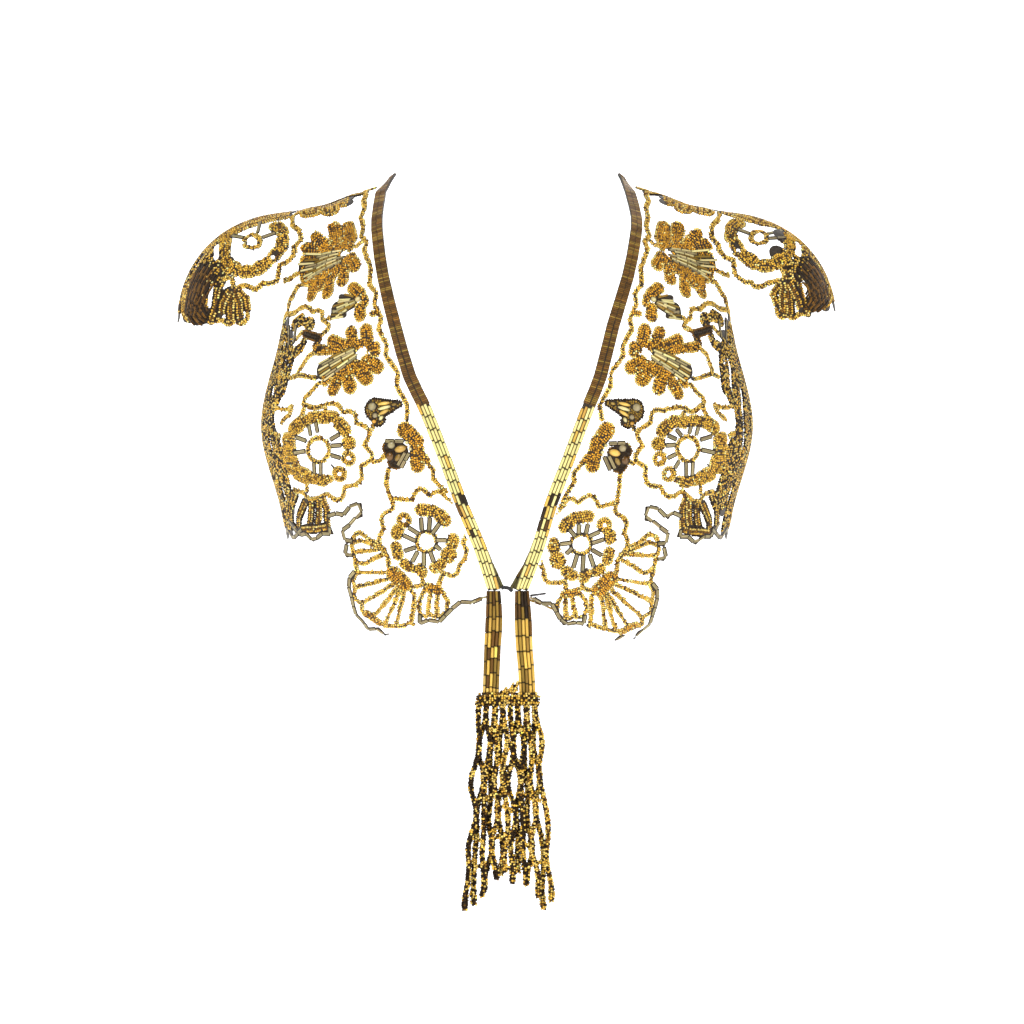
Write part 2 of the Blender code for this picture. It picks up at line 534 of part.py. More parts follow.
def turned(spots, arm=False):
    """Positions (around the side, height) as points on the form, left side."""
    table = np.array(spots, dtype=float)
    turn = table[:, 0] / ROUND
    near = np.stack((0.0 * turn, 0.0 * turn, table[:, 1]), 1)
    way = np.stack((-np.cos(turn), -np.sin(turn), 0.0 * turn), 1)
    return settle(halve(near, near + 330.0 * way, arm), arm)


def chain(points, radius):
    """Run of round-ended bars of one radius in mm through the points."""
    return [(points[i], points[i + 1], radius, radius) for i in range(len(points) - 1)]


def smooth(spots, count):
    """Curve through the spots, by Catmull-Rom spans."""
    table = np.array(spots, dtype=float)
    table = np.vstack((2 * table[0] - table[1], table, 2 * table[-1] - table[-2]))
    curve = []
    for i in range(1, len(table) - 2):
        a, b, c, d = table[i - 1:i + 3]
        for t in np.linspace(0.0, 1.0, count, endpoint=False):
            curve.append(0.5 * (2 * b + (c - a) * t + (2 * a - 5 * b + 4 * c - d) * t ** 2
                                + (3 * b - a - 3 * c + d) * t ** 3))
    curve.append(table[-2])
    return np.array(curve)


def strand_path(points):
    """Layout curve through a strand's points, each arc standing out by its bulge."""
    path = []
    for (column, row, bulge), (next_column, next_row, _) in zip(points, points[1:]):
        along = np.array((next_column - column, next_row - row))
        out = np.array((along[1], -along[0])) / np.linalg.norm(along)
        steps = ARC_STEPS if abs(bulge) > 1.0 else 1
        for k in range(steps):
            t = k / steps
            path.append(np.array((column, row)) + along * t + out * bulge * math.sin(math.pi * t))
    path.append(np.array(points[-1][:2]))
    return np.array(path)


def waved(spots, wave, length):
    """Curve through side positions with a sideways wave along its height."""
    curve = smooth(spots, 32 // (len(spots) - 1))
    if wave:
        phase = curve[0, 0] * WAVE_TURN
        curve[:, 0] += wave * np.sin(2.0 * math.pi * curve[:, 1] / length + phase)
    return curve


def laid(rows, right, arm):
    """Bars on the form from rows of foot, tip and two radii in layout steps."""
    if not rows:
        return []
    table = np.array(rows, dtype=float)
    feet = seen(moved(table[:, :2], right), arm)
    tips = seen(moved(table[:, 2:4], right), arm)
    # Bars on the turned away parts are made fuller, so they look their size from the front
    full = STEP / np.sqrt(np.maximum(-figure_normal((feet + tips) / 2.0, arm)[:, 1], LEAST_FACING))
    return [(a, b, row[4] * k, row[5] * k) for a, b, row, k in zip(feet, tips, table, full)]


def flower(column, row, across, up, petals, spokes, right, arm, fine):
    """Bars of one flower, and the holes in its petals."""
    angles = [math.radians(30.0 * k) for k in range(13)]
    ring = [(column + across * math.cos(a), row - up * math.sin(a)) for a in angles]
    bars = chain(seen(moved(ring, right), arm), STRAND)
    bars += laid([(*petal[:5], petal[4]) for petal in petals], right, arm)
    for spoke in spokes:
        ends = seen(moved((spoke[:2], spoke[2:]), right), arm)
        bars += chain(ends, SPOKE if fine else STRAND)
    holes = [(*petal[:2], *petal[:2], petal[5], petal[5]) for petal in petals if petal[5]]
    return bars, laid(holes, right, arm)


def pattern(part, right, fine):
    """All bars of one part's lace and the cuts in them, on the left side's form."""
    arm = part == "cap"
    bars, cuts = [], []
    for kind, leaves, lobes, holes in MOTIFS:
        if kind == part:
            bars += laid(leaves + lobes, right, arm)
            cuts += laid(holes, right, arm)
    for kind, *sizes in FLOWERS:
        if kind == part:
            more, holes = flower(*sizes, right, arm, fine)
            bars += more
            cuts += holes
    for kind, radius, points in STRANDS:
        if kind == part:
            bars += chain(seen(moved(strand_path(points), right), arm), radius)
    for kind, radius, wave, length, spots in SIDE_STRANDS:
        if kind == part:
            curve = waved(spots, wave, length)
            curve[:, 1] += RIGHT_RISE * (right and arm)
            bars += chain(turned(curve, arm), radius)
    if not arm:
        bars += laid(DROP, right, arm)
    return bars, cuts


def drop_point(right):
    """Middle of the glass drop."""
    return seen(moved([DROP_MIDDLE], right))[0]


def sheet_grid(around_first, around_last, up_first, up_last, arm):
    """Fine grid of the chart with the form's points at its knots."""
    arounds = np.arange(around_first, around_last + GRID, GRID)
    ups = np.arange(up_first, up_last + GRID, GRID)
    chart = np.stack(np.meshgrid(arounds, ups, indexing="ij"), -1)
    points = lift(chart.reshape(-1, 2), arm).reshape(chart.shape[:2] + (3,))
    return chart, points


def distance_field(chart, points, bars, base):
    """Distance in mm from each knot to the nearest bar, less than 0 inside."""
    field = base.copy()
    corner = chart[0, 0]
    for a, b, first, last in bars:
        ends = chart_of(np.array((a, b)))
        reach = (max(first, last) + 4.0) * 2.4
        low = np.floor((ends.min(0) - reach - corner) / GRID).astype(int)
        high = np.ceil((ends.max(0) + reach - corner) / GRID).astype(int) + 1
        low = np.maximum(low, 0)
        if (high <= low).any():
            continue
        window = (slice(low[0], high[0]), slice(low[1], high[1]))
        spots = points[window]
        line = b - a
        along = np.clip(((spots - a) @ line) / max(line @ line, 1e-9), 0.0, 1.0)
        gap = np.linalg.norm(spots - a - along[..., None] * line, axis=-1)
        field[window] = np.minimum(field[window], gap - first - (last - first) * along)
    return field


def outlines(chart, points, field):
    """Closed outlines of the field's inside as (chart, points) pairs."""
    spots = {}
    links = {}

    def crossing(i, j, k, m):
        low, high = field[i, j], field[k, m]
        t = min(max(low / (low - high), 0.02), 0.98)
        key = (i, j, k, m)
        if key not in spots:
            spots[key] = (chart[i, j] * (1 - t) + chart[k, m] * t,
                          points[i, j] * (1 - t) + points[k, m] * t)
        return key

    inside = field < 0.0
    mixed = inside[:-1, :-1].astype(int) + inside[1:, :-1] + inside[1:, 1:] + inside[:-1, 1:]
    for i, j in zip(*np.nonzero((mixed > 0) & (mixed < 4))):
        corners = ((i, j), (i + 1, j), (i + 1, j + 1), (i, j + 1))
        state = [inside[c] for c in corners]
        leave, enter = [], []
        for k in range(4):
            here, there = corners[k], corners[(k + 1) % 4]
            if state[k] != state[(k + 1) % 4]:
                key = crossing(*min(here, there), *max(here, there))
                (leave if state[k] else enter).append((k, key))
        middle = sum(field[c] for c in corners) < 0.0
        for k, key in leave:
            if len(enter) == 1:
                links[key] = enter[0][1]
            else:
                side = (k + 1) % 4 if middle else (k + 3) % 4
                links[key] = dict(enter)[side]
    loops = []
    while links:
        start, current = links.popitem()
        loop = [start]
        while current != start:
            loop.append(current)
            current = links.pop(current)
        loops.append((np.array([spots[k][0] for k in loop]), np.array([spots[k][1] for k in loop])))
    return loops


def thin_out(points, tolerance):
    """Indices of a closed loop that keep its shape, to each point's own tolerance."""
    count = len(points)
    far = int(np.argmax(np.linalg.norm(points - points[0], axis=1)))
    keep = {0, far}
    spans = [(0, far), (far, count)]
    while spans:
        first, last = spans.pop()
        if last - first < 2:
            continue
        a, b = points[first], points[last % count]
        line = b - a
        between = points[first + 1:last]
        along = np.clip(((between - a) @ line) / max(line @ line, 1e-9), 0.0, 1.0)
        gap = np.linalg.norm(between - a - along[:, None] * line, axis=1)
        gap /= tolerance[first + 1:last]
        worst = int(np.argmax(gap))
        if gap[worst] > 1.0:
            index = first + 1 + worst
            keep.add(index)
            spans += [(first, index), (index, last)]
    return sorted(keep)


def loop_area(points):
    """Area in square mm inside a closed loop of points."""
    centre = points.mean(0)
    fans = np.cross(points - centre, np.roll(points, -1, axis=0) - centre)
    return 0.5 * np.linalg.norm(fans.sum(0))


def turned_left(chart):
    """True where a chart loop runs counter-clockwise."""
    following = np.roll(chart, -1, axis=0)
    return (chart[:, 0] * following[:, 1] - chart[:, 1] * following[:, 0]).sum() > 0.0


def within(spot, loop):
    """True where a chart spot lies inside a closed chart loop."""
    following = np.roll(loop, -1, axis=0)
    across = (loop[:, 1] > spot[1]) != (following[:, 1] > spot[1])
    rise = np.where(across, following[:, 1] - loop[:, 1], 1.0)
    cut = loop[:, 0] + (spot[1] - loop[:, 1]) * (following[:, 0] - loop[:, 0]) / rise
    return np.count_nonzero(across & (cut > spot[0])) % 2 == 1


def chosen_loops(loops, least):
    """The largest outline and then those inside it that are holes worth cutting."""
    areas = [loop_area(solid) for _, solid in loops]
    outer = int(np.argmax(areas))
    way = turned_left(loops[outer][0])
    chosen = [loops[outer]]
    for index in np.argsort(areas)[::-1]:
        flat, solid = loops[index]
        hole = index != outer and turned_left(flat) != way
        if hole and areas[index] >= least and within(flat[0], loops[outer][0]):
            chosen.append((flat, solid))
    return chosen


def filled(loops, limits, extra):
    """Flat triangles between the outlines: places and vertex triples."""
    verts, rings = [], []
    for (flat, solid), limit in zip(loops, limits):
        keep = thin_out(solid, limit)
        if len(keep) > 2:
            rings.append(list(range(len(verts), len(verts) + len(keep))))
            verts += [Vector(flat[k]) for k in keep]
    verts += [Vector(spot) for spot in extra]
    made = geometry.delaunay_2d_cdt(verts, [], rings, 2, 1e-5)
    return np.array([tuple(v) for v in made[0]]), [tuple(face) for face in made[2]]


def rim_edges(faces):
    """Edges with a face on one side only, in that face's direction."""
    edges = {edge for a, b, c in faces for edge in ((a, b), (b, c), (c, a))}
    return [(a, b) for a, b in edges if (b, a) not in edges]


def sheet_mesh(chart, points, field, seam, arm, tolerance, least, raised=()):
    """Cut sheet thickened to a closed wall: vertices in mm and triangles."""
    loops = chosen_loops(outlines(chart, points, field), least)
    limits = []
    for flat, _ in loops:
        knots = np.round((flat - chart[0, 0]) / GRID).astype(int)
        limits.append(np.where(seam[knots[:, 0], knots[:, 1]], SEAM_TOLERANCE, tolerance))
    extra = chart_of(np.array([spot for spot, _ in raised])) if raised else np.empty((0, 2))
    while True:
        flat, faces = filled(loops, limits, extra)
        starts = [a for a, _ in rim_edges(faces)]
        pinches = {a for a in starts if starts.count(a) > 1}
        if not pinches:
            break
        # Two gaps that touch at a point: the smaller one stays uncut
        spot = flat[min(pinches)]
        near = [np.linalg.norm(loop - spot, axis=1).min() for loop, _ in loops[1:]]
        touching = [k for k, gap in enumerate(near) if gap < min(near) + 1.5]
        del loops[touching[-1] + 1], limits[touching[-1] + 1]
    on = lift(flat, arm)
    normal = figure_normal(on, arm)
    height = np.full(len(on), WALL / 2.0)
    for spot, (_, extra_height) in zip(extra, raised):
        height[np.argmin(np.linalg.norm(flat - spot, axis=1))] += extra_height
    upper = on + normal * height[:, None]
    lower = on - normal * (WALL / 2.0)
    a, b, c = faces[0]
    if np.cross(on[b] - on[a], on[c] - on[a]) @ normal[a] < 0.0:
        faces = [face[::-1] for face in faces]
    count = len(on)
    triangles = []
    for a, b, c in faces:
        triangles += [(a, b, c), (a + count, c + count, b + count)]
    for a, b in rim_edges(faces):
        triangles += [(a, a + count, b + count), (a, b + count, b)]
    return np.vstack((upper, lower)), triangles


def make_node(name, verts, triangles, material, right=False, back=False):
    """Mesh object in metres, mirrored to its side."""
    table = np.array(verts) * 0.001
    flips = 0
    if right:
        table[:, 0] *= -1.0
        flips += 1
    if back:
        table[:, 1] *= -1.0
        flips += 1
    faces = [tuple(int(v) for v in face) for face in triangles]
    if flips % 2:
        faces = [face[::-1] for face in faces]
    used = sorted({v for face in faces for v in face})
    index = {v: k for k, v in enumerate(used)}
    mesh = bpy.data.meshes.new(name)
    mesh.from_pydata([tuple(table[v]) for v in used], [], [tuple(index[v] for v in f) for f in faces])
    mesh.materials.append(material)
    mesh.validate()
    node = bpy.data.objects.new(name, mesh)
    bpy.context.scene.collection.objects.link(node)
    return node


def finish(name, color, metallic, roughness):
    """Plain Principled finish for one node."""
    material = bpy.data.materials.new(name)
    material.use_nodes = True
    shader = material.node_tree.nodes["Principled BSDF"]
    shader.inputs["Base Color"].default_value = (*color, 1.0)
    shader.inputs["Metallic"].default_value = metallic
    shader.inputs["Roughness"].default_value = roughness
    return material


def sweep(path, across, out, wide, thick, sides=4):
    """Closed bar along a path: half sizes across and out at each point."""
    verts, triangles = [], []
    for point, a, o, w, t in zip(path, across, out, wide, thick):
        for k in range(sides):
            angle = 2.0 * math.pi * (k + 0.5) / sides
            if sides == 4:
                u, v = math.copysign(1.0, math.cos(angle)), math.copysign(1.0, math.sin(angle))
            else:
                u, v = math.cos(angle), math.sin(angle)
            verts.append(point + a * w * u + o * t * v)
    for ring in range(len(path) - 1):
        for k in range(sides):
            a = ring * sides + k
            b = ring * sides + (k + 1) % sides
            triangles += [(a, b, b + sides), (a, b + sides, a + sides)]
    last = (len(path) - 1) * sides
    for k in range(1, sides - 1):
        triangles += [(0, k + 1, k), (last, last + k, last + k + 1)]
    return verts, triangles


def face_out(verts, triangles):
    """Triangles turned so that the closed body's faces look outward."""
    table = np.array(verts)
    volume = 0.0
    for a, b, c in triangles:
        volume += table[a] @ np.cross(table[b], table[c])
    return triangles if volume > 0.0 else [face[::-1] for face in triangles]


def band_path(right):
    """Centre line and widths of one half of the neck band, front to back."""
    front, widths = [], []
    for left_column, right_column, row, wide in BAND:
        column = 2.0 * AXIS_COLUMN - right_column if right else left_column
        front.append((column, row))
        widths.append(wide)
    curve = seen(smooth(front, 2))
    wide = np.interp(np.arange(len(curve)) / 2.0, np.arange(len(widths)), widths)
    x, z, narrow = BAND_TOP
    top = settle(np.array(((-x, 0.0, z),)), False)
    back = curve[::-1] * np.array((1.0, -1.0, 1.0))
    low = np.clip((BACK_JOIN - back[:, 2]) / (BACK_JOIN - back[-1, 2]), 0.0, 1.0)
    back[:, 0] += low ** 2 * (-BACK_FOOT - back[-1, 0])
    back = settle(back, False)
    path = np.vstack((curve, top, back))
    return path, np.concatenate((wide, (narrow,), wide[::-1]))


def band_bars(right):
    """Bars that keep the lace clear of the neck band."""
    path, wide = band_path(right)
    return [(path[i], path[i + 1], wide[i] / 2 + SEAM_CUT, wide[i + 1] / 2 + SEAM_CUT)
            for i in range(len(path) - 1)]


def build_band(right, material):
    """Half of the neck band, from the front foot over the shoulder to the back."""
    path, wide = band_path(right)
    normal = figure_normal(path, False)
    way = np.gradient(path, axis=0)
    across = np.cross(normal, way)
    across /= np.linalg.norm(across, axis=1, keepdims=True)
    thick = np.full(len(path), BAND_THICK / 2.0)
    verts, triangles = sweep(path, across, normal, wide / 2.0, thick)
    # Both feet end level, just above the straps
    foot = (NECK_ROW - BAND_FOOT_ROW) * STEP
    for end, line in ((range(4), way[0]), (range(len(verts) - 4, len(verts)), way[-1])):
        for k in end:
            verts[k] = verts[k] + line * (foot - verts[k][2]) / line[2]
    triangles = face_out(verts, triangles)
    return make_node("neck_band_right" if right else "neck_band_left", verts, triangles, material,
                     right)


def build_strap(right, material):
    """Bugle strap hanging from the front foot of the band."""
    columns = [(2.0 * AXIS_COLUMN - r if right else l, row, half) for row, l, r, half in STRAPS]
    hang = strap_depth(right)
    path = np.array([((c - AXIS_COLUMN) * STEP, hang, (NECK_ROW - row) * STEP)
                     for c, row, _ in columns])
    count = len(path)
    across = np.tile((1.0, 0.0, 0.0), (count, 1))
    out = np.tile((0.0, 1.0, 0.0), (count, 1))
    half = np.array([h * STEP for _, _, h in columns])
    verts, triangles = sweep(path, across, out, half, np.full(count, STRAP_THICK / 2.0), 8)
    triangles = face_out(verts, triangles)
    return make_node("strap_right" if right else "strap_left", verts, triangles, material, right)


def strap_depth(right):
    """Front-to-back place where the straps hang, in mm."""
    return float(band_path(right)[0][0][1])


def fringe_path(side, head, foot, foot_row, index):
    """Centre line of one fringe strand, waving to meet its neighbours."""
    length = foot_row - FRINGE_HEAD_ROW
    count = max(8, round(length / (FRINGE_NET / 2.0)))
    depth = strap_depth(side == "right")
    path = []
    for k in range(count + 1):
        t = k / count
        row = FRINGE_HEAD_ROW + length * t
        wave = FRINGE_WAVE * math.sin(math.pi * (row - FRINGE_HEAD_ROW) / FRINGE_NET)
        wave *= 1.0 if index % 2 else -1.0
        column = head + (foot - head) * t + wave
        away = FRINGE_APART if index % 2 else -FRINGE_APART
        path.append(((column - AXIS_COLUMN) * STEP, depth + away, (NECK_ROW - row) * STEP))
    return np.array(path)


def build_fringe(side, material):
    """Netted fringe of one strap: a short head and loose waving strands."""
    rows = [row for row in FRINGE if row[0] == side]
    depth = strap_depth(side == "right")
    heads = [row[1] for row in rows]
    middle = (min(heads) + max(heads)) / 2.0
    half = (max(heads) - min(heads)) / 2.0 + 2.6
    path, wide = [], []
    for row, grow in ((FRINGE_HEAD_ROW - 0.5, 0.86), (FRINGE_HEAD_ROW + 8.0, 1.0)):
        path.append(((middle - AXIS_COLUMN) * STEP, depth, (NECK_ROW - row) * STEP))
        wide.append(half * STEP * grow)
    across = np.tile((1.0, 0.0, 0.0), (2, 1))
    out = np.tile((0.0, 1.0, 0.0), (2, 1))
    verts, triangles = sweep(np.array(path), across, out, wide, (3.3, 3.3))
    node = [(np.array(verts), face_out(verts, triangles))]
    for index, (_, head, foot, foot_row) in enumerate(rows):
        line = fringe_path(side, head, foot, foot_row, index)
        line[0, 2] -= 2.0 * STEP
        count = len(line)
        across = np.tile((1.0, 0.0, 0.0), (count, 1))
        out = np.tile((0.0, 1.0, 0.0), (count, 1))
        size = np.full(count, FRINGE_STRAND)
        verts, triangles = sweep(line, across, out, size * 1.15, size, 3)
        node.append((np.array(verts), face_out(verts, triangles)))
    return join_bodies("fringe_" + side, node, material)


def join_bodies(name, bodies, material):
    """One closed body from a first body and others that sink into it."""
    parts = []
    for index, (verts, triangles) in enumerate(bodies):
        parts.append(make_node(name if not index else "%s_%02d" % (name, index), verts, triangles,
                               material))
    main = parts[0]
    for part in parts[1:]:
        union = main.modifiers.new("union", "BOOLEAN")
        union.operation = "UNION"
        union.solver = "EXACT"
        union.object = part
        apply_modifiers(main)
        bpy.data.objects.remove(part, do_unlink=True)
    return main


def apply_modifiers(node):
    """Put a node's modifiers into its mesh."""
    graph = bpy.context.evaluated_depsgraph_get()
    mesh = bpy.data.meshes.new_from_object(node.evaluated_get(graph))
    old = node.data
    node.modifiers.clear()
    node.data = mesh
    name = old.name
    bpy.data.meshes.remove(old)
    mesh.name = name


def round_bar(name, spots, radius, material, sides=6):
    """Round cord or wire through points in mm."""
    path = np.array(spots, dtype=float)
    way = np.gradient(path, axis=0)
    way /= np.linalg.norm(way, axis=1, keepdims=True)
    out = np.cross(way, (0.0, 0.0, 1.0))
    out /= np.linalg.norm(out, axis=1, keepdims=True)
    across = np.cross(out, way)
    size = np.full(len(path), radius)
    verts, triangles = sweep(path, across, out, size, size, sides)
    node = make_node(name, verts, face_out(verts, triangles), material)
    node.data.polygons.foreach_set("use_smooth", [True] * len(node.data.polygons))
    return node


def build_lace(part, right, backs, material):
    """Lace of one part on one side; the back quarter mirrors the front."""
    side = "right" if right else "left"
    arm = part == "cap"
    if arm:
        chart, points = sheet_grid(-138.0, 138.0, -4.0, 150.0, arm)
    else:
        chart, points = sheet_grid(-2.0, 232.0, -208.0, 160.0, arm)
    clear = np.full(chart.shape[:2], 9.0)
    band = distance_field(chart, points, band_bars(right), clear)
    for back in backs:
        bars, cuts = pattern(part, right, not back)
        if arm:
            bars += [(a * (1, -1, 1), b * (1, -1, 1), r, s) for a, b, r, s in bars]
            cuts += [(a * (1, -1, 1), b * (1, -1, 1), r, s) for a, b, r, s in cuts]
        field = distance_field(chart, points, bars, clear)
        field = np.maximum(field, -distance_field(chart, points, cuts, clear))
        if arm:
            level = figure_level(points.reshape(-1, 3), False).reshape(clear.shape)
            seam = level < 0.06
        else:
            field = np.maximum(field, points[..., 1] + SEAM_HALF)
            caps, _ = pattern("cap", right, False)
            cap = distance_field(chart, points, caps, clear)
            field = np.maximum(field, SEAM_CUT - cap)
            seam = (cap < SEAM_CUT + 2.0) | (band < 1.2)
        field = np.maximum(field, -band)
        field[:, :1] = field[:, -1:] = 9.0
        field[:1] = field[-1:] = 9.0
        raised = () if arm else ((drop_point(right), 2.2),)
        least, tolerance = CAP_CUT if arm else BACK_CUT if back else FRONT_CUT
        verts, triangles = sheet_mesh(chart, points, field, seam, arm, tolerance, least,
                                      raised)
        if arm:
            name = "shoulder_cap_" + side
        else:
            name = ("back_" if back else "front_") + side + "_lace"
        make_node(name, verts, triangles, material, right, back)


def build():
    """Every piece of the shawl."""
    for item in list(bpy.data.objects):
        bpy.data.objects.remove(item, do_unlink=True)
    lace = finish("gold_bead_lace", (0.55, 0.36, 0.10), 0.6, 0.38)
    bugle = finish("gold_bugle_beads", (0.70, 0.56, 0.20), 0.7, 0.25)
    net = finish("bead_net_fringe", (0.42, 0.28, 0.09), 0.6, 0.4)
    black = finish("black_cord", (0.02, 0.02, 0.02), 0.0, 0.6)
    steel = finish("dark_steel_hook", (0.12, 0.12, 0.13), 0.9, 0.4)
    for right in (False, True):
        build_lace("front", right, (False, True), lace)
        build_lace("cap", right, (False,), lace)
        build_band(right, bugle)
        build_strap(right, bugle)
        build_fringe("right" if right else "left", net)
    depth = strap_depth(False)
    cord = [(501.6, 587.6), (505.0, 587.4), (509.0, 588.2), (512.4, 591.6)]
    spots = [((c - AXIS_COLUMN) * STEP, depth - 0.6, (NECK_ROW - r) * STEP) for c, r in cord]
    round_bar("clasp_cord", spots, CORD_RADIUS, black)
    hook = [(531.05, 595.6, 0.2), (533.0, 595.3, 2.8), (538.0, 594.6, 3.2), (546.0, 593.4, 3.2)]
    spots = [((c - AXIS_COLUMN) * STEP, depth - away, (NECK_ROW - r) * STEP)
             for c, r, away in hook]
    round_bar("clasp_hook", spots, HOOK_RADIUS, steel)


build()
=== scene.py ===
"""Beaded lace shawl: threads, beads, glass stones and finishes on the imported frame.

The lace is laid out on a grid of columns (to the viewer's right) and rows (down),
one step being 0.68 mm, and put on the rounded form of a general figure. Lengths
are in millimetres until a mesh is made. Everything is worked out for the left
front and mirrored to the other quarters.
"""

import logging
import math
from dataclasses import dataclass, field
from enum import Enum
from typing import Callable, Dict, List, Optional, Sequence, Tuple, Union

import bpy
import numpy as np
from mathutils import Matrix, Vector, geometry


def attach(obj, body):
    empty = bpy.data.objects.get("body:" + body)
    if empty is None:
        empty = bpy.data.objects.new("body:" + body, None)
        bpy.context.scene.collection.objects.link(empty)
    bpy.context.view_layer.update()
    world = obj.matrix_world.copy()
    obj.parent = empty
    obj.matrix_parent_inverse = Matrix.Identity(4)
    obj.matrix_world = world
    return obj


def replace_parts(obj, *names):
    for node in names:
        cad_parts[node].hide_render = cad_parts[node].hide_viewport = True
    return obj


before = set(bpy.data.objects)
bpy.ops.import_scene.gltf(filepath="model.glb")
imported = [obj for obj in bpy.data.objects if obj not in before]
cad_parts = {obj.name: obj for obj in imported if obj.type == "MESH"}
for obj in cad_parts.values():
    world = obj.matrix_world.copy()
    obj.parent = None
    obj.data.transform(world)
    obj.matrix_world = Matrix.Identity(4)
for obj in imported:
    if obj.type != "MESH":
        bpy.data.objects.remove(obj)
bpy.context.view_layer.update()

LOG = logging.getLogger("shawl")
Array = np.ndarray
Spot = Tuple[float, float]
Spots = Sequence[Spot]
Bar = Tuple[Array, Array, float, float]

# Layout grid, as in the solids
STEP = 0.68
AXIS_COLUMN = 507.0
NECK_ROW = 176.0
METRE = 0.001

# Beads, in mm
SEED_PITCH = 1.62
SEED_RADIUS = 0.98
JITTER = 0.13
ROW_GAP = 1.52
CROWD = 1.2
EDGE_ROW = 0.66
THREE_ROWS = 2.2
SIZE_SPREAD = 0.06
HUE_SPREAD = 0.02
TURNED_OUT = 0.9
BUGLE_RADIUS = 0.72
FORWARD = (0.0, -1.0, 0.0)
LEAF_BUGLE = 10.5
LEAF_BUGLE_RADIUS = 0.86

# Thread ground, in mm
THREAD_THICK = 0.7
THREAD_INSET = 0.62
BEAD_INSET = 0.22
STRAND = 1.85
SPOKE = 1.15
BUGLE_EDGE = 1.25
SEAM_HALF = 0.15
SEAM_CUT = 0.85
GRID = 0.8
OUTLINE_TOLERANCE = 0.3
SMALLEST_GAP = 2.0
SMALLEST_ISLAND = 45
ARC_STEPS = 6
WAVE_TURN = 0.22
LEAST_FACING = 0.4


class Part(Enum):
    """A lace piece: a front or back quarter, or a shoulder cap."""

    QUARTER = "front"
    CAP = "cap"


class Side(Enum):
    """The side of the shawl as the viewer sees it."""

    LEFT = "left"
    RIGHT = "right"


class Tone(Enum):
    """Glass colours, each with its display colour and how much it varies."""

    STRAW = ((224, 190, 100), 0.22)
    GOLD = ((214, 166, 62), 0.24)
    AMBER = ((206, 148, 44), 0.24)
    BRONZE = ((112, 76, 24), 0.30)
    DARK = ((30, 19, 7), 0.35)
    PALE = ((240, 226, 146), 0.08)
    CREAM = ((226, 211, 146), 0.12)
    GLASS = ((160, 146, 106), 0.18)
    HONEY = ((226, 182, 84), 0.14)
    OLIVE = ((142, 112, 44), 0.20)
    BROWN = ((98, 66, 22), 0.22)

    def linear(self) -> Array:
        """Scene-linear colour of the tone."""
        share = np.array(self.value[0]) / 255.0
        return ((share + 0.055) / 1.055) ** 2.4


class Dress(Enum):
    """How a motif's leaf bars are beaded."""

    CREAM = "pale bugles with dark ones between"
    FANNED = "pale bugles spreading from a point"
    STONES = "glass stones"
    SHADOW = "dark bugles and dark seeds"
    SIDE = "dark gold seeds"


@dataclass(frozen=True)
class Blob:
    """One rounded solid of the general figure, in mm."""

    aside: float
    height: float
    half_width: float
    half_depth: float
    half_height: float
    square: float


